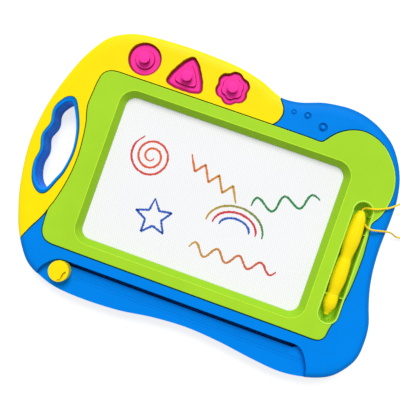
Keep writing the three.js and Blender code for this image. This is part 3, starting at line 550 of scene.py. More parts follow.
def worked(base, operation, tools):
    """The base joined with, cut by or kept within its tools, which are used up."""
    for tool in tools:
        step = base.modifiers.new(operation, "BOOLEAN")
        step.operation, step.solver, step.object = operation, "MANIFOLD", tool
    settled(base)
    for tool in tools:
        removed(tool)
    return base


def cut(base, *tools):
    return worked(base, "DIFFERENCE", tools)


def add(base, *tools):
    return worked(base, "UNION", tools)


def common(base, *tools):
    return worked(base, "INTERSECT", tools)


def smooth(obj, angle=32):
    """Smooth shading up to an angle, with flat faces kept flat."""
    mesh = obj.data
    mesh.polygons.foreach_set("use_smooth", [True] * len(mesh.polygons))
    mesh.set_sharp_from_angle(angle=math.radians(angle))
    normals = obj.modifiers.new("Normals", "WEIGHTED_NORMAL")
    normals.mode, normals.keep_sharp, normals.weight = "FACE_AREA_WITH_ANGLE", True, 80
    return settled(obj)


def tidied(obj):
    """The object with its closest vertices merged and its faces turned outwards."""
    work = bmesh.new()
    work.from_mesh(obj.data)
    bmesh.ops.remove_doubles(work, verts=work.verts, dist=MERGE_DISTANCE * MM)
    bmesh.ops.dissolve_degenerate(work, edges=work.edges, dist=MERGE_DISTANCE * MM)
    bmesh.ops.recalc_face_normals(work, faces=work.faces)
    work.to_mesh(obj.data)
    work.free()
    return obj


def finished(obj, name, finish, body, nodes=()):
    obj.name = obj.data.name = name
    obj.data.materials.clear()
    obj.data.materials.append(finish_of(finish))
    obj.data.polygons.foreach_set("material_index", [0] * len(obj.data.polygons))
    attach(obj, body)
    if nodes:
        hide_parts(*nodes)
    return obj


# Shader and geometry nodes
class Socket:
    """A node's output that can be reckoned with."""

    def __init__(self, graph, node, index=0):
        self.graph, self.node, self.out = graph, node, node.outputs[index]

    def reckon(self, operation, *values):
        return self.graph.node("ShaderNodeMath", {"operation": operation}, dict(enumerate(values)))

    def __add__(self, other):
        return self.reckon("ADD", self, other)

    def __mul__(self, other):
        return self.reckon("MULTIPLY", self, other)

    def __sub__(self, other):
        return self.reckon("SUBTRACT", self, other)

    def __rsub__(self, other):
        return self.reckon("SUBTRACT", other, self)

    def __truediv__(self, other):
        return self.reckon("DIVIDE", self, other)

    def __abs__(self):
        return self.reckon("ABSOLUTE", self)

    def most(self, other):
        return self.reckon("MAXIMUM", self, other)

    def least(self, other):
        return self.reckon("MINIMUM", self, other)

    def within(self, size):
        """The remainder of a division, never below zero."""
        return self.reckon("FLOORED_MODULO", self, size)

    def rise(self, low, high):
        """0 below low and 1 above high, with an eased step between them."""
        eased = {"interpolation_type": "SMOOTHSTEP"}
        return self.graph.node("ShaderNodeMapRange", eased, {0: self, 1: low, 2: high})


class Graph:
    """A node tree that is written as expressions."""

    def __init__(self, tree):
        self.tree = tree

    def node(self, kind, settings=None, values=None, output=0):
        made = self.tree.nodes.new(kind)
        for key, value in (settings or {}).items():
            setattr(made, key, value)
        for key, value in (values or {}).items():
            self.feed(made.inputs[key], value)
        return Socket(self, made, output)

    def feed(self, entry, value):
        if isinstance(value, Socket):
            self.tree.links.new(value.out, entry)
        else:
            entry.default_value = value

    def blend(self, factor, low, high):
        """A colour between two others."""
        low, high = (c if isinstance(c, Socket) else (*c, 1)[:4] for c in (low, high))
        return self.node("ShaderNodeMix", {"data_type": "RGBA"}, {0: factor, 6: low, 7: high}, 2)

    def noise(self, place, scale, detail=2.0, roughness=0.5):
        values = {"Vector": place, "Scale": scale, "Detail": detail, "Roughness": roughness}
        return self.node("ShaderNodeTexNoise", None, values)

    def bump(self, height, strength, distance, normal=None):
        values = {"Height": height, "Strength": strength, "Distance": distance}
        if normal is not None:
            values["Normal"] = normal
        return self.node("ShaderNodeBump", None, values)


class Finish(Graph):
    """A material with one Principled BSDF."""

    def __init__(self, name, **constants):
        self.material = bpy.data.materials.new(name)
        self.material.use_nodes = True
        super().__init__(self.material.node_tree)
        self.tree.nodes.clear()
        self.surface = self.tree.nodes.new("ShaderNodeBsdfPrincipled")
        output = self.tree.nodes.new("ShaderNodeOutputMaterial")
        self.tree.links.new(self.surface.outputs[0], output.inputs["Surface"])
        self.place = self.node("ShaderNodeTexCoord", None, None, "Object")
        for key, value in constants.items():
            self.surface.inputs[key.replace("_", " ")].default_value = value

    def show(self, colour, roughness, normal):
        for key, value in (("Base Color", colour), ("Roughness", roughness), ("Normal", normal)):
            self.feed(self.surface.inputs[key], value)
        return self.material


def shade(colour, factor):
    return tuple(min(c * factor, 1.0) for c in colour[:3])


def gloss_plastic(name, colour, roughness=0.42, shine=0.12, bleed=2.0, highlight_height=None, rim=None):
    """Injection-moulded gloss plastic: faint flow marks, a slightly uneven polish and fine handling marks.

    A face's painted light scales its colour: painted shade below 1, more saturated as if light bled between
    walls, and a painted highlight above 1. Above the highlight height comes a painted highlight; down a rim's
    two heights a painted shade that clears at its floor.
    """
    g = Finish(name, IOR=1.48, Specular_IOR_Level=shine)
    flow = g.noise(g.place, 11, 3)
    cloud = g.noise(g.place, 55, 2)
    grain = g.noise(g.place, 1500, 2)
    patch = (flow * 0.6 + cloud * 0.4).rise(0.3, 0.7)
    base = g.blend(patch, shade(colour, 0.965), shade(colour, 1.02))
    split = g.node("ShaderNodeSeparateXYZ", None, {0: g.place})
    height = Socket(g, split.node, 2)
    # Painted highlight on what stands above the highlight height
    if highlight_height is not None:
        highlit = height.rise(highlight_height * MM, (highlight_height + 0.35) * MM)
        base = g.blend(highlit, base, tuple(min(c * 1.2 + 0.07, 1) for c in colour))
    # Painted shade down the rim between its two heights, cleared again at its floor
    if rim is not None:
        high, low, floor = rim
        lit = height.rise(low * MM, high * MM).most(1 - height.rise((floor - 0.1) * MM, (floor + 0.2) * MM))
        base = g.blend(lit, shade(colour, 0.8), base)
    # Each face's painted light scales its colour; painted shade is more saturated, as if light bled between
    # walls
    painted_light = g.node("ShaderNodeAttribute", {"attribute_name": "painted_light"}, None, "Fac")
    depths = {k: painted_light.reckon("POWER", painted_light, 1 + bleed * (1 - c / max(colour))) for k, c in enumerate(colour)}
    deepened = g.node("ShaderNodeCombineXYZ", None, depths)
    base = g.node("ShaderNodeVectorMath", {"operation": "MULTIPLY"}, {0: base, 1: deepened})
    rub = g.noise(g.place, 320, 4, 0.65).rise(0.56, 0.74)
    finish = cloud * 0.08 + grain * 0.05 + rub * 0.1 + (roughness - 0.08)
    fine = g.bump(grain, 0.12, 0.00006)
    return g.show(base, finish, g.bump(flow, 0.25, 0.0008, fine))


def satin_plastic(name, colour, roughness=0.5):
    """Plastic from a spark-eroded mould: an even, fine texture."""
    g = Finish(name, IOR=1.48, Specular_IOR_Level=0.1)
    grain = g.noise(g.place, 2200, 3, 0.6)
    flow = g.noise(g.place, 30, 3)
    base = g.blend(flow.rise(0.3, 0.7), shade(colour, 0.94), shade(colour, 1.04))
    return g.show(base, grain * 0.2 + (roughness - 0.1), g.bump(grain, 0.35, 0.00008))


def hexagons(g, pitch):
    """Distance from the middle of a honeycomb cell, 0 to 0.5, over the plan."""
    split = g.node("ShaderNodeSeparateXYZ", None, {0: g.place})
    x, y = split / pitch, Socket(g, split.node, 1) / pitch
    rows = math.sqrt(3)

    def cell(dx, dy):
        return (x + dx).within(1.0) - 0.5, (y + dy).within(rows) - rows / 2

    def reach(pair):
        across, up = abs(pair[0]), abs(pair[1])
        return across.most(across * 0.5 + up * (rows / 2))

    return reach(cell(0.0, 0.0)).least(reach(cell(0.5, rows / 2)))


def screen_finish(colour, pitch):
    """Milky front sheet with the honeycomb behind it showing faintly."""
    g = Finish("screen_sheet", IOR=1.46, Specular_IOR_Level=0.2)
    wall = hexagons(g, pitch).rise(0.36, 0.47)
    cloud = g.noise(g.place, 14, 3)
    dust = g.noise(g.place, 900, 3, 0.7).rise(0.58, 0.78)
    sheet = g.blend(cloud.rise(0.3, 0.7), shade(colour, 0.985), shade(colour, 1.0))
    celled = g.blend(wall * 0.9, sheet, shade(colour, 0.8))
    base = g.blend(dust * 0.12, celled, shade(colour, 0.6))
    return g.show(base, cloud * 0.1 + 0.3, g.bump(wall, 0.1, 0.00005))


def ink_finish(pitch, paper):
    """Powder drawn up behind the sheet: full in the cells and thin along their walls."""
    g = Finish("drawn_powder", IOR=1.46, Specular_IOR_Level=0.1)
    ink = g.node("ShaderNodeAttribute", {"attribute_name": "ink"})
    wall = hexagons(g, pitch).rise(0.34, 0.46)
    patch = g.noise(g.place, 900, 3, 0.7).rise(0.52, 0.72)
    thin = (wall * 0.1 + patch * 0.1).least(0.8)
    base = g.blend(thin, ink, shade(paper, 0.9))
    return g.show(base, patch * 0.15 + 0.35, g.bump(wall, 0.08, 0.00005))


def magnet_finish():
    """Pressed ferrite: dark, dusty and slightly speckled."""
    g = Finish("pressed_magnet", IOR=1.8)
    speck = g.noise(g.place, 2600, 4, 0.7)
    cloud = g.noise(g.place, 60, 3)
    base = g.blend((speck * 0.7 + cloud * 0.3).rise(0.35, 0.7), (0.022, 0.021, 0.02), (0.065, 0.062, 0.06))
    return g.show(base, speck * 0.25 + 0.5, g.bump(speck, 0.4, 0.0001))


def steel_finish():
    """Zinc-plated steel with fine turning marks."""
    g = Finish("plated_steel", Metallic=1.0)
    cloud = g.noise(g.place, 220, 4, 0.6)
    marks = g.noise(g.place, 3200, 2)
    base = g.blend(cloud.rise(0.3, 0.7), (0.46, 0.46, 0.47), (0.62, 0.61, 0.6))
    return g.show(base, cloud * 0.2 + marks * 0.1 + 0.2, g.bump(marks, 0.15, 0.00005))


def foam_finish():
    """Closed-cell foam tape."""
    g = Finish("foam_tape")
    cells = g.node("ShaderNodeTexVoronoi", None, {"Vector": g.place, "Scale": 1400.0})
    base = g.blend(cells.rise(0.1, 0.7), (0.012, 0.012, 0.013), (0.03, 0.03, 0.032))
    return g.show(base, cells * 0.1 + 0.8, g.bump(cells, 0.5, 0.0002))


def cord_finish(colour):
    """Drawn plastic cord with a faint twist along it."""
    g = Finish("drawn_cord", IOR=1.48, Specular_IOR_Level=0.2)
    run = g.node("ShaderNodeUVMap", {"uv_map": "run"})
    split = g.node("ShaderNodeSeparateXYZ", None, {0: run})
    twist = (split * 330.0 + Socket(g, split.node, 1)).within(1.0)
    ridge = abs(twist - 0.5).rise(0.05, 0.45)
    cloud = g.noise(g.place, 90, 3)
    base = g.blend(cloud.rise(0.3, 0.7) * 0.6 + ridge * 0.4, shade(colour, 0.9), shade(colour, 1.05))
    return g.show(base, ridge * 0.1 + 0.3, g.bump(ridge, 0.2, 0.0001))


def recipe(name, sockets):
    """An empty geometry node tree with its inputs: (graph, {input name: socket}, the tree's own geometry)."""
    tree = bpy.data.node_groups.new(name, "GeometryNodeTree")
    tree.is_modifier = True
    tree.interface.new_socket("Geometry", in_out="OUTPUT", socket_type="NodeSocketGeometry")
    tree.interface.new_socket("Geometry", in_out="INPUT", socket_type="NodeSocketGeometry")
    for title, default in sockets.items():
        entry = tree.interface.new_socket(title, in_out="INPUT", socket_type="NodeSocketFloat")
        entry.default_value = default
    graph = Graph(tree)
    entrance = tree.nodes.new("NodeGroupInput")
    inputs = {title: Socket(graph, entrance, k + 1) for k, title in enumerate(sockets)}
    return graph, inputs, Socket(graph, entrance)


def closed_recipe(graph, geometry, material):
    """Ends a tree in real geometry with its material."""
    real = graph.node("GeometryNodeRealizeInstances", None, {0: geometry})
    painted = graph.node("GeometryNodeSetMaterial", None, {0: real, 2: material})
    exit_node = graph.tree.nodes.new("NodeGroupOutput")
    graph.tree.links.new(painted.out, exit_node.inputs[0])
    return graph.tree


def grown(obj, tree, **sizes):
    """The plain mesh that a tree makes of an object, with its inputs set by identifier."""
    modifier = obj.modifiers.new("Recipe", "NODES")
    modifier.node_group = tree
    for item in tree.interface.items_tree:
        if item.item_type == "SOCKET" and item.in_out == "INPUT" and item.name in sizes:
            modifier[item.identifier] = sizes[item.name]
    obj.update_tag()
    return with_painted_light(settled(obj), 1.0)


def line(points, closed=True):
    """A mesh of edges alone."""
    mesh = bpy.data.meshes.new("line")
    count = len(points)
    edges = [(i, (i + 1) % count) for i in range(count if closed else count - 1)]
    mesh.from_pydata([tuple(p) for p in np.asarray(points, float) * MM], edges, [])
    made = bpy.data.objects.new("line", mesh)
    bpy.context.scene.collection.objects.link(made)
    return made


def bead_tree(material):
    """A round bead that follows a line."""
    graph, sizes, entrance = recipe("Bead along a line", {"Bead Radius": 0.6 * MM})
    path = graph.node("GeometryNodeMeshToCurve", None, {0: entrance})
    ring = {"Resolution": 10, "Radius": sizes["Bead Radius"]}
    section = graph.node("GeometryNodeCurvePrimitiveCircle", None, ring)
    tube = graph.node("GeometryNodeCurveToMesh", None, {0: path, 1: section, "Fill Caps": True})
    return closed_recipe(graph, tube, material)


def bead(points, radius, finish, closed=True):
    """A round bead through points, its radius in millimetres."""
    return grown(line(points, closed), bead_tree(finish_of(finish)), **{"Bead Radius": radius * MM})


def scatter_tree(name, make, material, sockets):
    """One form, made by a function of the graph and its sizes, at every point and at its own scales."""
    graph, sizes, entrance = recipe(name, sockets)
    points = graph.node("GeometryNodeMeshToPoints", None, {0: entrance})
    scale = graph.node("GeometryNodeInputNamedAttribute", {"data_type": "FLOAT_VECTOR"}, {0: "size"})
    values = {"Points": points, "Instance": make(graph, sizes), "Scale": scale}
    placed = graph.node("GeometryNodeInstanceOnPoints", None, values)
    return closed_recipe(graph, placed, material)


def spots(places, height, scales):
    """Points in the plan at one height, each with scales of its own along X, Y and Z."""
    made = new_object("spots", [(*place, height) for place in places], [])
    made.data.attributes.new("size", "FLOAT_VECTOR", "POINT").data.foreach_set("vector", np.ravel(scales))
    return made


# The far side of the eraser's neck, inside the knob's wall
NECK_REACH = math.sqrt(KNOB_RADIUS**2 - (NECK_HALF + GAP) ** 2) - KNOB_WALL - GAP

# Outlines that several pieces share
BOARD_LINE = smooth_outline(OUTLINE)
BEZEL_LINE = smooth_outline(BEZEL, 1.2, 2)
GRIP_LINE = smooth_outline(GRIP, 1.5, 3)
RIM_RINGS = [(inset * RIM_INSET, BOARD_TOP - drop * RIM_ROUNDING) for inset, drop in spline(RIM, 4, False)]


def grip_hole():
    inner = grow(GRIP_LINE, -LIP_WIDTH)
    low, high = GRIP_LINE[:, 1].min(), GRIP_LINE[:, 1].max()
    middle, half = (low + high) / 2, (high - low) / 2 - LIP_WIDTH
    shorter = (half + LIP_WIDTH - LIP_END_WIDTH) / half
    return np.column_stack([inner[:, 0], middle + (inner[:, 1] - middle) * shorter])


def yellow_region():
    top = spline([plan(s) for s in TOP_SEAM], 8, False)
    left = spline([plan(s) for s in LEFT_SEAM], 8, False)
    inner = plan((LEFT_SEAM[0][0], TOP_SEAM[-1][1]))
    far = ((-SEAM_FAR, LEFT_SEAM[-1][1]), (-SEAM_FAR, SEAM_FAR), (TOP_SEAM[0][0], SEAM_FAR))
    return anticlockwise(np.vstack([top, [inner], left, [plan(s) for s in far]]))


def terrace_region():
    return anticlockwise(spline([plan(s) for s in TERRACE], 8, False))


def lobed(radius, lobes, shares):
    """A rounded outline with equal lobes, one of them towards +Y."""
    angles = np.arange(144) * 2 * math.pi / 144
    swings = sum(share * np.cos((k + 1) * lobes * (angles - math.pi / 2)) for k, share in enumerate(shares))
    reach = radius * (1 + swings)
    return np.column_stack([reach * np.cos(angles), reach * np.sin(angles)])


def stamp_outlines():
    """The three wells' walls, each round its own centre."""
    return [circle(WELL_RADIUS, 144), lobed(TRIANGLE, 3, TRIANGLE_LOBES), lobed(FLOWER, 6, FLOWER_LOBES)]


def tray_capsule():
    x, top = plan(TRAY)
    half, steps = TRAY_WIDTH / 2, 24
    bottom = top - TRAY_LENGTH + half
    angles = [math.pi * (1 + i / steps) for i in range(steps + 1)]
    arc = [(x + half * math.cos(a), bottom + half * math.sin(a)) for a in angles]
    return evened(anticlockwise(np.array([(x + half, top), (x - half, top), *arc])), 1.5)


def tray_lines():
    return tray_capsule(), circle(FINGER_RADIUS, 64, plan(FINGER_WELL))


def casing():
    """The casing above the parting line, before it is split into its two mouldings: (solid, hollow)."""
    outside = loft(BOARD_LINE, [(DRAFT + EDGE_BREAK, PARTING), (DRAFT, PARTING + EDGE_BREAK), *RIM_RINGS])
    terrace = terrace_region()
    seat = [(-BEZEL_GAP, LEDGE_TOP), *[(i - BEZEL_GAP, z) for i, z in mouth(BOARD_TOP, SEAM_ROUNDING)]]
    # The bezel's seat carries painted shade on its walls
    cut(
        outside,
        with_painted_light(loft(BEZEL_LINE, seat), SEAM_TONE),
        prism(grow(BEZEL_LINE, -LEDGE_WIDTH), PARTING - OVER, BOARD_TOP + OVER),
        loft(terrace, [*foot(TERRACE_TOP, 1.2), *mouth(BOARD_TOP, 0.9)]),
        *[prism(grow(shape, WALL + BEZEL_GAP), PARTING - OVER, BOARD_TOP + OVER) for shape in tray_lines()],
    )
    inside = [(i + WALL, z - WALL) for i, z in RIM_RINGS[::HOLLOW_STEP]]
    hollow = loft(BOARD_LINE, [(DRAFT + WALL, PARTING - OVER), *inside])
    cut(
        hollow,
        prism(grow(BEZEL_LINE, BEZEL_GAP + WALL), LEDGE_TOP - WALL, BOARD_TOP + OVER),
        prism(grow(terrace, WALL), TERRACE_TOP - WALL, BOARD_TOP + OVER),
    )
    return outside, hollow


# What a user would change
def colour(title, said, value):
    return bpy.props.FloatVectorProperty(
        name=title, description=said, default=value, size=3, min=0, max=1, subtype="COLOR"
    )


def length(title, said, value):
    return bpy.props.FloatProperty(name=title, description=said, default=value * MM, min=0, unit="LENGTH")


class BoardColours(bpy.types.PropertyGroup):
    """Finishes of the board, as linear colours."""

    yellow: colour("Yellow", "Top panel", (1.0, 0.78, 0.0))
    knob: colour("Knob yellow", "Pen and eraser knob", (1.0, 0.78, 0.002))
    green: colour("Green", "Screen bezel", (0.385, 0.7, 0.025))
    blue: colour("Blue", "Front frame and rear cover", (0.0, 0.232, 0.83))
    magenta: colour("Magenta", "Stamps", (1.0, 0.036, 0.39))
    cord: colour("Cord", "Cord and its ends", (1.0, 0.68, 0.012))
    screen: colour("Screen", "Front sheet of the screen", (0.95, 0.955, 0.97))
    white: colour("White", "Slider and screen core", (0.85, 0.86, 0.87))


class BoardSizes(bpy.types.PropertyGroup):
    """Small sizes of the dressing."""

    bead: length("Bead", "Radius of the bead round the tray", 1.15)
    slope_bead: length("Slope bead", "Radius of the bead along the top of the screen's slopes", 0.55)
    stroke: length("Stroke", "Width of a drawn line", 2.6)
    cell: length("Cell", "Width of one honeycomb cell behind the screen", 2.8)
    edge: length("Edge", "Rounding of the bezel's edge", 1.0)


def colours():
    return bpy.context.scene.board_colours


def sizes():
    return bpy.context.scene.board_sizes


FINISHES = {}


def finish_of(name):
    """The material of that name, made once."""
    if name not in FINISHES:
        c = colours()
        makers = {
            "yellow": lambda: gloss_plastic("yellow_gloss", c.yellow),
            "knob": lambda: gloss_plastic("knob_gloss", c.knob, 0.38),
            # The green gets a painted highlight on what stands above the bezel's top
            "green": lambda: gloss_plastic("green_gloss", c.green, bleed=1.0, highlight_height=BEZEL_TOP + 0.12),
            # The blue gets a painted shade down its rim and walls
            "blue": lambda: gloss_plastic("blue_gloss", c.blue, shine=0.04, bleed=0.2, rim=RIM_SHADE),
            "magenta": lambda: gloss_plastic("magenta_gloss", c.magenta, bleed=1.0),
            "underside": lambda: satin_plastic("blue_satin", c.blue, 0.5),
            "plug": lambda: satin_plastic("knob_satin", c.knob, 0.4),
            "white": lambda: satin_plastic("white_satin", c.white, 0.45),
            "screen": lambda: screen_finish(c.screen, sizes().cell),
            "ink": lambda: ink_finish(sizes().cell, c.screen),
            "magnet": magnet_finish,
            "steel": steel_finish,
            "foam": foam_finish,
            "cord": lambda: cord_finish(c.cord),
        }
        FINISHES[name] = makers[name]()
    return FINISHES[name]


# Cord
def from_pen(point):
    x, y = plan(PEN)
    return np.array([x + point[0], y + point[1], point[2]])


def coil_path():
    """The coil's turns, inwards on the ground and, after a climb, outwards on top of them."""
    half, low, steps = COIL_TURNS / 2, CORD_DIAMETER / 2 + FLOOR_GAP, 24
    points = []
    for i in range(round(COIL_TURNS * steps) + 1):
        turns = i / steps
        angle = math.pi / 2 - turns * 2 * math.pi
        radius = COIL_RADIUS - COIL_PITCH * min(turns, half - CLIMB, COIL_TURNS - turns)
        share = min(max((turns - half + CLIMB) / (2 * CLIMB), 0), 1)
        height = low + share * share * (3 - 2 * share) * COIL_PITCH
        x, y = COIL_PLACE[0] + radius * math.cos(angle), COIL_PLACE[1] + radius * math.sin(angle)
        points.append(from_pen((x, y, height)))
    return np.array(points)


def tube(points, radius, name):
    """A round tube along points in millimetres, with its run in metres and its turn in the UV map."""
    sides = 12
    tangents = np.gradient(points, axis=0)
    tangents /= np.linalg.norm(tangents, axis=1, keepdims=True)
    side = np.cross(tangents[0], (0.3, 0.2, 1))
    side /= np.linalg.norm(side)
    reach = np.concatenate([[0], np.cumsum(np.linalg.norm(np.diff(points, axis=0), axis=1))])
    vertices = []
    for point, tangent in zip(points, tangents):
        side = side - tangent * (side @ tangent)
        side /= np.linalg.norm(side)
        over = np.cross(tangent, side)
        for k in range(sides):
            turn = 2 * math.pi * k / sides
            vertices.append(point + radius * (math.cos(turn) * side + math.sin(turn) * over))
    faces, runs = [], []
    for i in range(len(points) - 1):
        for k in range(sides):
            a, b = i * sides + k, i * sides + (k + 1) % sides
            faces.append((a, b, b + sides, a + sides))
            low, high = reach[i] * MM, reach[i + 1] * MM
            runs += [(low, k / sides), (low, (k + 1) / sides), (high, (k + 1) / sides), (high, k / sides)]
    last = (len(points) - 1) * sides
    faces += [tuple(range(sides))[::-1], tuple(last + k for k in range(sides))]
    runs += [(0.0, 0.0)] * sides + [(reach[-1] * MM, 0.0)] * sides
    made = new_object(name, vertices, faces)
    made.data.uv_layers.new(name="run").data.foreach_set("uv", np.array(runs).ravel())
    return smooth(made, 60), reach[-1]


class BOARD_OT_stage(bpy.types.Operator):
    """Makes the camera at the photograph's angle, the floor and soft studio light"""

    bl_idname = "board.stage"
    bl_label = "Stage"

    def execute(self, context):
        turns = [Matrix.Rotation(angle, 4, axis) for angle, axis in CAMERA_TURNS]
        seen = Matrix.Translation(CAMERA_PLACE) @ turns[0] @ turns[1] @ turns[2]
        camera = bpy.data.objects.new("camera", bpy.data.cameras.new("camera"))
        camera.data.lens, camera.data.sensor_width = CAMERA_LENS, CAMERA_SENSOR
        camera.data.clip_start, camera.data.clip_end = 0.01, 20
        camera.matrix_world = seen.inverted()
        context.scene.collection.objects.link(camera)
        context.scene.camera = camera
        self.light(context)
        self.floor(context)
        context.scene.view_settings.view_transform = "Standard"
        return {"FINISHED"}

    def light(self, context):
        world = bpy.data.worlds.new("studio")
        world.use_nodes = True
        context.scene.world = world
        graph = Graph(world.node_tree)
        graph.tree.nodes.clear()
        path = graph.node("ShaderNodeLightPath")
        glossy, through = (Socket(graph, path.node, f"Is {kind} Ray") for kind in ("Glossy", "Transmission"))
        seen = path.most(glossy).most(through)
        strength = seen * (1 - SKY_LIGHT) + SKY_LIGHT
        sky = graph.node("ShaderNodeBackground", None, {"Color": (1, 1, 1, 1), "Strength": strength})
        output = graph.tree.nodes.new("ShaderNodeOutputWorld")
        graph.tree.links.new(sky.out, output.inputs["Surface"])
        sun = bpy.data.objects.new("key", bpy.data.lights.new("key", "SUN"))
        sun.data.energy, sun.data.angle = SUN_LIGHT, math.radians(SUN_ANGLE)
        sun.rotation_euler = Vector(SUN_PLACE).to_track_quat("Z", "Y").to_euler()
        context.scene.collection.objects.link(sun)

    def floor(self, context):
        reach = 3000
        corners = [(x * reach, y * reach, 0) for x, y in ((-1, -1), (1, -1), (1, 1), (-1, 1))]
        floor = new_object("floor", corners, [(0, 1, 2, 3)])
        material = bpy.data.materials.new("pale_floor")
        material.use_nodes = True
        graph = Graph(material.node_tree)
        graph.tree.nodes.clear()
        path = graph.node("ShaderNodeLightPath")
        seen = path.most(Socket(graph, path.node, "Is Glossy Ray"))
        pale = graph.node("ShaderNodeBsdfDiffuse", None, {"Color": (FLOOR_GREY, FLOOR_GREY, FLOOR_GREY, 1)})
        glow = graph.node("ShaderNodeEmission", None, {"Color": (1, 1, 1, 1), "Strength": seen * FLOOR_GLOW})
        both = graph.node("ShaderNodeAddShader", None, {0: pale, 1: glow})
        output = graph.tree.nodes.new("ShaderNodeOutputMaterial")
        graph.tree.links.new(both.out, output.inputs["Surface"])
        floor.data.materials.append(material)
        floor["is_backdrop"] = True


class BOARD_OT_cords(bpy.types.Operator):
    """Lays the cord from the pen over the edge to its coil and back to the tray"""

    bl_idname = "board.cords"
    bl_label = "Cord"

    def execute(self, context):
        lead = spline([from_pen(p) for p in PEN_ROUTE], 6, False)
        back = spline([from_pen(p) for p in ANCHOR_ROUTE], 6, False)
        coil = coil_path()
        lead = np.vstack([lead[:-1], coil[:1]])
        rest = np.vstack([coil, back[1:]])
        for name, points, nodes in (
            ("pen_cord", lead, ("cord_pen_stretch",)),
            ("coiled_cord", rest[::-1], ("cord_coil", "cord_anchor_stretch")),
        ):
            made, length = tube(points, CORD_DIAMETER / 2, name)
            made.data.materials.append(finish_of("cord"))
            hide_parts(*nodes)
            if name == "pen_cord":
                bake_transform(made, "root", "pen", start=tuple(lead[-1] * MM), end=tuple(lead[0] * MM))
            else:
                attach(made, "root")
            length * MM
            [tuple(p * MM) for p in points]
        return {"FINISHED"}


class BOARD_OT_casing(bpy.types.Operator):
    """Moulds the blue front frame and the yellow top panel from one casing"""

    bl_idname = "board.casing"
    bl_label = "Casing"

    def execute(self, context):
        solid, hollow = casing()
        region = yellow_region()
        self.frame(solid, hollow, region)
        self.panel(solid, hollow, region)
        removed(solid)
        removed(hollow)
        return {"FINISHED"}

    def copied(self, obj):
        twin = obj.copy()
        twin.data = obj.data.copy()
        bpy.context.scene.collection.objects.link(twin)
        return twin

    def frame(self, solid, hollow, region):
        body, inside = self.copied(solid), self.copied(hollow)
        half_seam, clear, lip = SEAM_GAP / 2, BOARD_TOP + 2 * OVER, BOARD_TOP + LIP_RISE
        edge = [(i - half_seam, z) for i, z in mouth(BOARD_TOP, SEAM_ROUNDING)]
        # Painted shade on the walls of the seam to the yellow panel, and on the grip's lip
        cut(body, with_painted_light(loft(region, [(-half_seam, DECK_TOP), *edge, (edge[-1][0], clear)]), SEAM_TONE))
        add(body, with_painted_light(loft(GRIP_LINE, [(0, PARTING), *top_edge(lip, LIP_ROUNDING, 5)]), LIP_TONE))
        under = [(-half_seam - WALL, z) for z in (DECK_TOP - WALL, clear)]
        cut(inside, loft(region, under), prism(GRIP_LINE, 0, BOARD_TOP))
        cut(body, inside)
        # Painted bounce light on the grip's walls, painted shade in the dots' grooves
        cut(
            body,
            with_painted_light(loft(grip_hole(), [(0, 0), *mouth(lip, GRIP_ROUNDING, 6)]), GRIP_TONE),
            *self.track(),
            with_painted_light(self.grooves(), GROOVE_TONE),
        )
        # Painted highlight on the domes' flat tops, painted shade round them
        add(body, with_painted_light(self.domes(), lambda _, normal: DOME_TOP_TONE if normal.z > 0.975 else DOME_TONE))
        finished(smooth(tidied(body)), "blue_frame", "blue", "root", ("front_frame",))

    def track(self):
        """What the eraser's slot, the fall towards it and the scored lines take out of the terrace."""
        knob_x, knob_y = plan(KNOB)
        start, end = knob_x - NECK_HALF - OVER, knob_x + ERASER_TRAVEL + NECK_HALF + OVER
        low, high = knob_y + NECK_REACH - NECK_DEPTH - GAP, plan((0, SLOT_SHARE))[1]
        tip = end + SLOT_TIP[0]
        slot = np.array([(start, low), (end, low), (tip, low + SLOT_TIP[1]), (tip, high), (start, high)])
        # The slot's walls and the scored lines carry painted shade, the fall a painted shadow
        return [
            with_painted_light(prism(slot, TERRACE_TOP - WALL - OVER, TERRACE_TOP + OVER), SEAM_TONE),
            self.shaded(low, start, end),
            *[with_painted_light(self.scored(y), painted_light) for y, painted_light in SCORE_LINES],
        ]

    def shaded(self, edge, start, end):
        """The terrace's faint fall towards the slot's edge with the wall's painted shadow on it, darker the
        closer it is, faded at its end.
        """
        reach, past = edge - SCORE_LINES[0][0], 0.4
        high, lid = TERRACE_TOP + 0.01, TERRACE_TOP + OVER
        floor = [(edge - reach * (1 - s), high - FALL_DEPTH * s) for s in np.linspace(0, 1, 12)]
        outline = np.array([*floor, (edge + past, floor[-1][1]), (edge + past, lid), (edge - reach, lid)])
        fade = np.linspace(end - FALL_FADE, end + FALL_FADE, 7)
        fall = loft(outline, [(0, x) for x in (start, *fade)])
        fall.data.transform(Matrix(((0, 0, 1, 0), (1, 0, 0, 0), (0, 1, 0, 0), (0, 0, 0, 1))))

        # Painted shadow of the wall: deepest at the slot's edge, fading out past the slot's end
        def painted_light(middle, _):
            full = np.interp(edge - middle.y, FALL_PLACES, FALL_TONES)
            return np.interp(middle.x, (fade[0], fade[-1]), (full, 1.0))

        return with_painted_light(fall, painted_light)

    def scored(self, y):
        """A faint line along the terrace, below the slot."""
        points = [(x, y, TERRACE_TOP + SCORE_RISE) for x in np.linspace(*SCORE_ENDS, 29)]
        return bead(points, SCORE_RADIUS, "blue", False)

    def panel(self, solid, hollow, region):
        body, inside = self.copied(solid), self.copied(hollow)
        half_seam, low = SEAM_GAP / 2, DECK_TOP + GAP
        edge = [(i + half_seam, z) for i, z in top_edge(BOARD_TOP, SEAM_ROUNDING, 3)]
        rings = [(half_seam, low), *edge, (edge[-1][0] + 0.2, BOARD_TOP + OVER / 2)]
        # Painted shade on the walls of the seam to the blue frame
        common(body, with_painted_light(loft(region, rings), SEAM_TONE))
        common(inside, prism(grow(region, -half_seam - WALL), low - OVER, BOARD_TOP + OVER))
        cups, pockets = [], []
        for shares, shape in zip(STAMPS, stamp_outlines()):
            centre = plan(shares)
            cups.append(prism(grow(shape, WALL) + centre, WELL_FLOOR - WALL, BOARD_TOP + OVER))
            rings = [*foot(WELL_FLOOR, 1.0), *mouth(BOARD_TOP, 0.7, 4)]
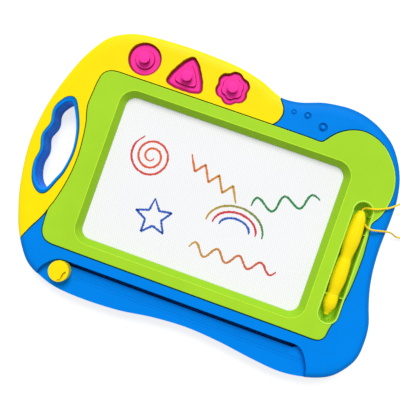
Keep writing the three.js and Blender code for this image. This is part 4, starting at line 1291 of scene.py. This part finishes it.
            # Painted shade on the wells' walls and floors
            pockets.append(with_painted_light(loft(shape + centre, rings), WELL_TONE))
        cut(inside, *cups)
        # Painted shade on the walls of the seam round the grip's ring
        around = [(-RING_GAP, low - OVER), *[(i - RING_GAP, z) for i, z in mouth(BOARD_TOP, SEAM_ROUNDING)]]
        cut(body, inside, *pockets, with_painted_light(loft(GRIP_LINE, around), SEAM_TONE))
        finished(smooth(tidied(body)), "yellow_panel", "yellow", "root", ("top_panel",))

    def grooves(self):
        def ring(graph, _):
            path = graph.node("GeometryNodeCurvePrimitiveCircle", None, {"Resolution": 48, "Radius": 0.73})
            section = graph.node("GeometryNodeCurvePrimitiveCircle", None, {"Resolution": 12, "Radius": 0.27})
            return graph.node("GeometryNodeCurveToMesh", None, {0: path, 1: section})

        return self.dots("Dot grooves", ring, 0.2)

    def domes(self):
        def dome(graph, _):
            ball = graph.node("GeometryNodeMeshUVSphere", None, {"Segments": 40, "Rings": 24, "Radius": 0.48})
            return graph.node("GeometryNodeTransform", None, {0: ball, "Scale": (1.0, 1.0, 0.45)})

        return self.dots("Dots", dome, 0.4)

    def dots(self, name, make, depth):
        """One form at each of the three dots, as wide as the dot and sunk to a depth."""
        marks = spots([plan(s) for s in DOTS], BOARD_TOP - depth, [[r * MM] * 3 for r in DOT_RADII])
        return grown(marks, scatter_tree(name, make, finish_of("blue"), {}))


class BOARD_OT_rear(bpy.types.Operator):
    """Moulds the rear cover with its screw recesses, grip opening and runners"""

    bl_idname = "board.rear"
    bl_label = "Rear cover"

    def execute(self, context):
        rim = [(i * COVER_ROUNDING + DRAFT, z * COVER_ROUNDING) for i, z in spline(COVER_RIM, 4, False)]
        edge = [(DRAFT, COVER_HEIGHT - EDGE_BREAK), (DRAFT + EDGE_BREAK, COVER_HEIGHT)]
        cover = loft(BOARD_LINE, [*rim, *edge])
        places, head = [plan(s) for s in SCREWS], SCREW_HEAD + GAP
        inner, above = DRAFT + WALL, COVER_HEIGHT + OVER
        cut(cover, loft(BOARD_LINE, [(inner + COVER_ROUNDING / 2, WALL), (inner, above)]))
        add(cover, *[prism(circle(head + BOSS_WALL, 40, p), WALL / 2, COVER_HEIGHT) for p in places])
        add(cover, prism(GRIP_LINE, WALL / 2, COVER_HEIGHT), *self.runners())
        recess = [(-0.4, -OVER), (-0.4, 0), (0, 0.4), (0, RECESS)]
        cut(cover, *[loft(circle(head, 40, p), recess) for p in places])
        cut(cover, *[prism(circle(SCREW_SHANK + GAP, 24, p), -OVER, above) for p in places])
        cut(cover, loft(grip_hole(), [(-1.2, -OVER), (-1.2, 0), (-0.35, 0.35), (0, 1.2), (0, above)]))
        finished(smooth(tidied(cover)), "back_cover", "underside", "root", ("rear_cover",))
        return {"FINISHED"}

    def runners(self):
        """Two strips that the slider runs on, and a higher one that guides it."""
        x = plan(KNOB)[0]
        start, end = x - RUNNER_REACH, x + ERASER_TRAVEL + RUNNER_REACH
        top, guide = WALL + RUNNER_RISE, RUNNER_PLACE + RUNNER_WIDTH + GAP
        strips = ((RUNNER_PLACE - RUNNER_WIDTH, top), (-RUNNER_PLACE, top), (guide, top + GUIDE_RISE))
        return [box(start, end, y, y + RUNNER_WIDTH, WALL / 2, high) for y, high in strips]


class BOARD_OT_screws(bpy.types.Operator):
    """Sets the cross-recess screws in the rear cover"""

    bl_idname = "board.screws"
    bl_label = "Screws"

    def execute(self, context):
        head = {"Head Radius": SCREW_HEAD * MM, "Head Depth": HEAD_DEPTH * MM}
        tree = scatter_tree("Screws", self.screw, finish_of("steel"), head)
        marks = spots([plan(s) for s in SCREWS], RECESS - GAP - HEAD_DEPTH / 2, [[1.0] * 3 for _ in SCREWS])
        nodes = [f"cover_screw_{i + 1}" for i in range(len(SCREWS))]
        finished(smooth(grown(marks, tree)), "cover_screws", "steel", "root", nodes)
        return {"FINISHED"}

    def rod(self, graph, sides, radius, depth):
        values = {"Vertices": sides, "Radius": radius, "Depth": depth}
        return graph.node("GeometryNodeMeshCylinder", {"fill_type": "NGON"}, values)

    def screw(self, graph, made):
        """A flat head with a cross cut into it, on a plain shank."""
        head = self.rod(graph, 40, made["Head Radius"], made["Head Depth"])
        arms = []
        for turn in (0.0, math.pi / 2):
            arm = graph.node("GeometryNodeMeshCube", None, {"Size": tuple(side * MM for side in DRIVE_SIZE)})
            place, turned_by = (0, 0, -HEAD_DEPTH / 2 * MM), (0, 0, turn + DRIVE_TURN)
            values = {0: arm, "Translation": place, "Rotation": turned_by}
            arms.append(graph.node("GeometryNodeTransform", None, values))
        values = {0: self.rod(graph, 20, SCREW_SHANK * MM, SCREW_LENGTH * MM)}
        values["Translation"] = (0, 0, (SCREW_LENGTH / 2 + 0.9) * MM)
        shank = graph.node("GeometryNodeTransform", None, values)
        body = graph.node("GeometryNodeMeshBoolean", {"operation": "UNION"}, {1: head})
        graph.tree.links.new(shank.out, body.node.inputs[1])
        crossed = graph.node("GeometryNodeMeshBoolean", {"operation": "DIFFERENCE"}, {0: body, 1: arms[0]})
        graph.tree.links.new(arms[1].out, crossed.node.inputs[1])
        return crossed


class BOARD_OT_bezel(bpy.types.Operator):
    """Moulds the green bezel with its slopes, beads, pen tray and ribs"""

    bl_idname = "board.bezel"
    bl_label = "Screen bezel"

    def execute(self, context):
        low, under, above = LEDGE_TOP + GAP, BEZEL_TOP - WALL / 2, BEZEL_TOP + 2 * OVER
        edge = top_edge(BEZEL_TOP, sizes().edge / MM, 5)
        bezel = loft(BEZEL_LINE, [(0, low), (0, BOARD_TOP - 0.1), *edge])
        # Painted shade on the bezel's sides below the casing's top, down in its seam
        with_painted_light(bezel, stepped((BOARD_TOP - 0.2, SEAM_TONE)))
        cut(bezel, loft(BEZEL_LINE, [(WALL, low - OVER), (WALL, BEZEL_TOP - WALL)]))
        flange = rounded_rectangle(HALF[0] + FLANGE_WIDTH, HALF[1] + FLANGE_WIDTH, CORNER + FLANGE_ROUNDING)
        post, anchor = plan(SCREWS[POST_SCREW]), from_pen(ANCHOR_ROUTE[-1])[:2]
        add(
            bezel,
            prism(flange, FLANGE_BOTTOM, under),
            *[prism(grow(shape, WALL), TRAY_FLOOR - WALL, under) for shape in tray_lines()],
            prism(circle(POST_RADIUS, 24, post), PARTING, under),
        )
        self.slopes(bezel)
        pockets = [loft(shape, [*foot(TRAY_FLOOR, 3.0, 6), (0, above)]) for shape in tray_lines()]
        # Painted light on the finger well's floor and walls
        cut(bezel, pockets[0], with_painted_light(pockets[1], FINGER_TONE))
        add(bezel, self.ribs())
        cut(
            bezel,
            prism(circle(ANCHOR_RADIUS + GAP, 24, anchor), TRAY_FLOOR - WALL / 2, TRAY_FLOOR + OVER),
            prism(circle(SCREW_SHANK + GAP, 16, post), PARTING - OVER, RECESS + SCREW_LENGTH + GAP),
        )
        finished(smooth(tidied(bezel)), "green_bezel", "green", "root", ("screen_bezel",))
        return {"FINISHED"}

    def slopes(self, bezel):
        """Cuts the walls that slope down to the screen, and adds the beads on the bezel's top."""
        opening = rounded_rectangle(*HALF, CORNER, 14)
        crest = -SLOPE_WIDTH - 0.5
        wall = [(0, FLANGE_BOTTOM - OVER), (0, FLANGE_BOTTOM), (-SLOPE_WIDTH, BEZEL_TOP - 0.5)]
        edge = [(-SLOPE_WIDTH - 0.15, BEZEL_TOP - 0.15), (crest, BEZEL_TOP), (crest, BEZEL_TOP + OVER)]
        walls = loft(opening, [*wall, *edge])
        # Painted shade on the slopes, deeper on those facing away from the sun
        cut(bezel, with_painted_light(walls, lambda _, normal: SLOPE_TONE - SLOPE_SHADE * max(0, -normal.y)))
        # The tray's bead stands above the bezel's top and takes the green's painted highlight
        add(bezel, bead(self.tray_rim(), sizes().bead / MM, "green"))
        rim = [(x, y, BEZEL_TOP - SLOPE_BEAD_DROP) for x, y in grow(opening, SLOPE_WIDTH + SLOPE_BEAD_PLACE)]
        # The slope and lobe beads carry a painted highlight
        add(bezel, with_painted_light(bead(rim, sizes().slope_bead / MM, "green"), BEAD_TONE))
        (start_x, start_y), top = LOBE_START, BEZEL_TOP - LOBE_BEAD_DROP
        lobe = [(x, y, top) for x, y in grow(BEZEL_LINE, -LOBE_BEAD_INSET) if x > start_x and y > start_y]
        add(bezel, with_painted_light(bead(lobe, LOBE_BEAD, "green", False), BEAD_TONE))

    def tray_rim(self):
        """Points round the tray and its finger well, a bead's radius outside them."""
        out, height = sizes().bead / MM - 0.05, 5
        whole = add(*[prism(grow(shape, out), 0, height) for shape in tray_lines()])
        work = bmesh.new()
        work.from_mesh(whole.data)

        def is_rim(edge):
            high = all(vert.co.z > (height - 0.1) * MM for vert in edge.verts)
            return high and any(abs(face.normal.z) < 0.5 for face in edge.link_faces)

        top = [edge for edge in work.edges if is_rim(edge)]
        points, edge, vert = [], top[0], top[0].verts[0]
        on_top = set(top)
        while edge is not None:
            points.append(tuple(vert.co / MM))
            vert = edge.other_vert(vert)
            on_top.discard(edge)
            edge = next((e for e in vert.link_edges if e in on_top), None)
        work.free()
        removed(whole)
        points = np.array(points)
        points[:, 2] = BEZEL_TOP - 0.6
        return evened(points, 1.2)

    def ribs(self):
        """Thin ribs on both walls of the tray that hold the pen."""

        def rib(graph, _):
            return graph.node("GeometryNodeMeshCube", None, {"Size": (1.0 * MM, 1.0 * MM, RIB_HEIGHT * MM)})

        x, outer = plan(TRAY)[0], TRAY_WIDTH / 2 + RIB_OUTER
        places, spans = [], []
        for share, inner in RIBS:
            for side in (-1, 1):
                reach = inner + 1.2 * (side < 0)
                places.append((x + side * (outer + reach) / 2, plan((0, share))[1]))
                spans.append((outer - reach, 1.0, 1.0))
        marks = spots(places, BEZEL_TOP + 0.3 - RIB_HEIGHT / 2, spans)
        return grown(marks, scatter_tree("Tray ribs", rib, finish_of("green"), {}))


class BOARD_OT_screen(bpy.types.Operator):
    """Draws the strokes on the screen"""

    bl_idname = "board.screen"
    bl_label = "Drawn strokes"

    def execute(self, context):
        vertices, faces, inks = [], [], []
        rng = np.random.default_rng(7)
        for layer, (points, rounded, start, end) in enumerate(drawing()):
            path = spline(points, 8, False) if rounded else np.array(points, float)
            first = len(vertices)
            for share, corners in self.sections(evened_open(path, STROKE_STEP), layer, rng):
                vertices += corners
                inks += [(*(np.array(start) * (1 - share) + np.array(end) * share), 1)] * 4
            last = len(vertices) - 4
            for a in range(first, last, 4):
                faces += [(a + k, a + (k + 1) % 4, a + 4 + (k + 1) % 4, a + 4 + k) for k in range(4)]
            faces += [(first + 3, first + 2, first + 1, first), (last, last + 1, last + 2, last + 3)]
        drawn = new_object("drawn_lines", vertices, faces)
        ink = drawn.data.attributes.new("ink", "FLOAT_COLOR", "POINT")
        ink.data.foreach_set("color", np.array(inks).ravel())
        finished(drawn, "drawn_lines", "ink", "root")
        return {"FINISHED"}

    def sections(self, path, layer, rng):
        """A stroke's uneven sections, narrower at its ends, as pairs: (share of its length, four corners)."""
        ahead = np.gradient(path, axis=0)
        ahead /= np.linalg.norm(ahead, axis=1, keepdims=True)
        across = np.column_stack([-ahead[:, 1], ahead[:, 0]])
        half = sizes().stroke / MM / 2
        low, high = SCREEN_TOP + STROKE_BOTTOM, SCREEN_TOP + STROKE_TOP + STROKE_LAYER * layer
        for i, (place, sideways) in enumerate(zip(path, across)):
            share = i / (len(path) - 1)
            taper = min(1, STROKE_END + STROKE_TAPER * min(share, 1 - share))
            width = half * taper * (1 + STROKE_UNEVEN * rng.standard_normal())
            shift = STROKE_UNEVEN * rng.standard_normal()
            edges = ((width, low), (width, high), (-width, high), (-width, low))
            yield share, [(*(place + sideways * (reach + shift)), z) for reach, z in edges]


class BOARD_OT_eraser(bpy.types.Operator):
    """Turns the eraser's knob with its moulded mark"""

    bl_idname = "board.eraser"
    bl_label = "Eraser knob"

    def execute(self, context):
        x, y = plan(KNOB)
        low, radius = TERRACE_TOP + GAP, KNOB_RADIUS
        high = low + KNOB_HEIGHT
        rim = high - KNOB_CROWN
        crown = [(radius - inset, z) for inset, z in top_edge(rim, 0.9, 5)]
        dome = [(radius * share, rim + rise) for share, rise in KNOB_DOME]
        profile = [(radius - 0.4, low), (radius - 0.1, low + 0.2), (radius, low + 0.6), *crown, *dome]
        knob = moved(turned(profile, 96), x, y)
        neck, half = y + NECK_REACH, NECK_HALF + GAP
        crease = [(x + dx, y + dy, high - CREASE_DEPTH) for dx, dy in spline(CREASE, 6, False)]
        mark = bead(crease, CREASE_RADIUS, "knob", False)
        # The crease carries painted shade, paler towards its lower end
        cut(
            knob,
            box(x - half, x + half, neck - NECK_DEPTH - GAP, neck + GAP, low - OVER, high - WALL + GAP),
            with_painted_light(mark, lambda middle, _: CREASE_TONE if middle.y > y - 6 else CREASE_END_TONE),
        )
        smooth(tidied(knob), 40)
        finished(knob, "eraser_grip", "knob", "eraser", ("eraser_knob",))
        return {"FINISHED"}


class BOARD_OT_stamps(bpy.types.Operator):
    """Moulds the three stamps with their stepped bases and knobs"""

    bl_idname = "board.stamps"
    bl_label = "Stamps"

    def execute(self, context):
        low = WELL_FLOOR + GAP
        flange, tier = low + FLANGE_RISE, low + TIER_RISE
        for place, shape, (name, inset, bevel, fall, share) in zip(STAMPS, stamp_outlines(), STAMP_KINDS):
            outer, side = grow(shape, -inset), flange - fall
            edge = [(0, side), (0.95, side + 0.25), (0.95 + bevel, flange - 0.05), (1.3 + bevel, flange)]
            stamp = loft(outer, [(0.3, low), (0, low + 0.2), *edge])
            # Painted shade on the flange's sides and bevel
            with_painted_light(stamp, stepped((side + 0.2, SIDE_TONE), (flange - 0.04, BEVEL_TONE)))
            tier_line = outer * share
            # Painted shade in the moat round the tier
            moat = prism(grow(tier_line, 0.7), flange - 0.5, flange + OVER)
            cut(moat, prism(tier_line, flange - OVER, flange + 2 * OVER))
            cut(stamp, with_painted_light(moat, MOAT_TONE))
            # Painted shade on the tier's sides below its rounded top
            step = loft(tier_line, [(0, flange - OVER), *top_edge(tier, 0.5, 4)])
            add(stamp, with_painted_light(step, stepped((tier - 0.3, STEP_TONE))))
            add(stamp, self.handle(tier))
            plate = grow(grow(shape, -PLATE_INSET) * PLATE_SHARE, GAP)
            cut(stamp, prism(plate, low - OVER, low + PLATE_RECESS))
            moved(tidied(stamp), *plan(place))
            body, nodes = f"{name}_stamp", (f"stamp_{name}",)
            finished(smooth(stamp, 30), f"{name}_stamp_body", "magenta", body, nodes)
        return {"FINISHED"}

    def handle(self, tier):
        """The round knob on a stamp's tier, with a waist."""
        waist = spline([(radius, tier + rise) for radius, rise in HANDLE], 5, False)
        crown = [(radius, tier + rise) for radius, rise in HANDLE_CROWN]
        # Painted shade on the handle's side below its crown
        return with_painted_light(turned([*waist, *crown], 64), stepped((tier + 5.2, WAIST_TONE)))


class BOARD_OT_pen(bpy.types.Operator):
    """Turns the waisted pen, barrel and nose"""

    bl_idname = "board.pen"
    bl_label = "Pen"

    def execute(self, context):
        lay = Matrix.Rotation(math.pi / 2, 4, "X")
        x, y = plan(PEN)
        joint = BARREL[-1][0] * PEN_LENGTH

        def facet(angle):
            """Eight shallow flutes round the pen."""
            return 1 - 0.035 * (1 - abs(math.cos(4 * angle))) ** 2

        def profile(stations, ends):
            points = [(r * PEN_RADIUS, share * PEN_LENGTH) for share, r in spline(stations, 5, False)]
            return [(ends[0], points[0][1]), *points, (ends[1], points[-1][1])]

        def rod(radius, start, end):
            return turned([(radius, start), (radius, end)], 32)

        barrel = turned(profile(BARREL, (2.95, 4.4)), 96, shape=facet)
        socket = rod(SPIGOT_RADIUS + GAP, joint - (SPIGOT_LENGTH + GAP), joint + OVER)
        cut(barrel, socket, rod(PLUG_RADIUS, -OVER, PLUG_DEPTH))
        nose = turned(profile(NOSE, (4.05, 2.15)), 96, shape=facet)
        add(nose, rod(SPIGOT_RADIUS, joint - SPIGOT_LENGTH, joint + OVER))
        cut(nose, rod(TIP_RADIUS, PEN_LENGTH - TIP_DEPTH, PEN_LENGTH + OVER))
        for obj, name, node in ((barrel, "pen_body", "pen_barrel"), (nose, "pen_tip", "pen_nose")):
            moved(tidied(obj), x, y, PEN_AXIS, lay)
            finished(smooth(obj, 30), name, "knob", "pen", (node,))
        return {"FINISHED"}


class BOARD_OT_fittings(bpy.types.Operator):
    """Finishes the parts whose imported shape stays"""

    bl_idname = "board.fittings"
    bl_label = "Fittings"

    def execute(self, context):
        kept = {
            "screen_front_film": "screen", "screen_core": "white", "screen_back_film": "white",
            "screen_gasket": "foam", "eraser_slider": "underside", "eraser_magnet": "magnet",
            "pen_magnet": "steel", "pen_cord_plug": "plug", "cord_anchor": "plug",
            "stamp_circle_magnet": "magnet", "stamp_triangle_magnet": "magnet",
            "stamp_flower_magnet": "magnet",
        }
        for node, name in kept.items():
            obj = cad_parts[node]
            obj.data.materials.clear()
            obj.data.materials.append(finish_of(name))
        return {"FINISHED"}


OPERATORS = (
    BOARD_OT_stage, BOARD_OT_cords, BOARD_OT_casing, BOARD_OT_rear, BOARD_OT_screws, BOARD_OT_bezel,
    BOARD_OT_screen, BOARD_OT_eraser, BOARD_OT_stamps, BOARD_OT_pen, BOARD_OT_fittings,
)


class BOARD_PT_panel(bpy.types.Panel):
    """Lists the board's pieces and what can be changed on them"""

    bl_idname = "BOARD_PT_panel"
    bl_label = "Magnetic drawing board"
    bl_space_type = "VIEW_3D"
    bl_region_type = "UI"
    bl_category = "Board"

    def draw(self, context):
        for group in (context.scene.board_colours, context.scene.board_sizes):
            for name in group.__annotations__:
                self.layout.prop(group, name)
        for operator in OPERATORS:
            self.layout.operator(operator.bl_idname)


CLASSES = (BoardColours, BoardSizes, *OPERATORS, BOARD_PT_panel)


def register():
    for kind in CLASSES:
        bpy.utils.register_class(kind)
    bpy.types.Scene.board_colours = bpy.props.PointerProperty(type=BoardColours)
    bpy.types.Scene.board_sizes = bpy.props.PointerProperty(type=BoardSizes)


def unregister():
    del bpy.types.Scene.board_colours, bpy.types.Scene.board_sizes
    for kind in reversed(CLASSES):
        bpy.utils.unregister_class(kind)


def main():
    register()
    for operator in OPERATORS:
        group, name = operator.bl_idname.split(".")
        getattr(getattr(bpy.ops, group), name)()
    boxes = {"cad": CAD_BOX, "visual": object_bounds()}
    {key: [list(corner) for corner in value] for key, value in boxes.items()}


if __name__ == "__main__":
    main()
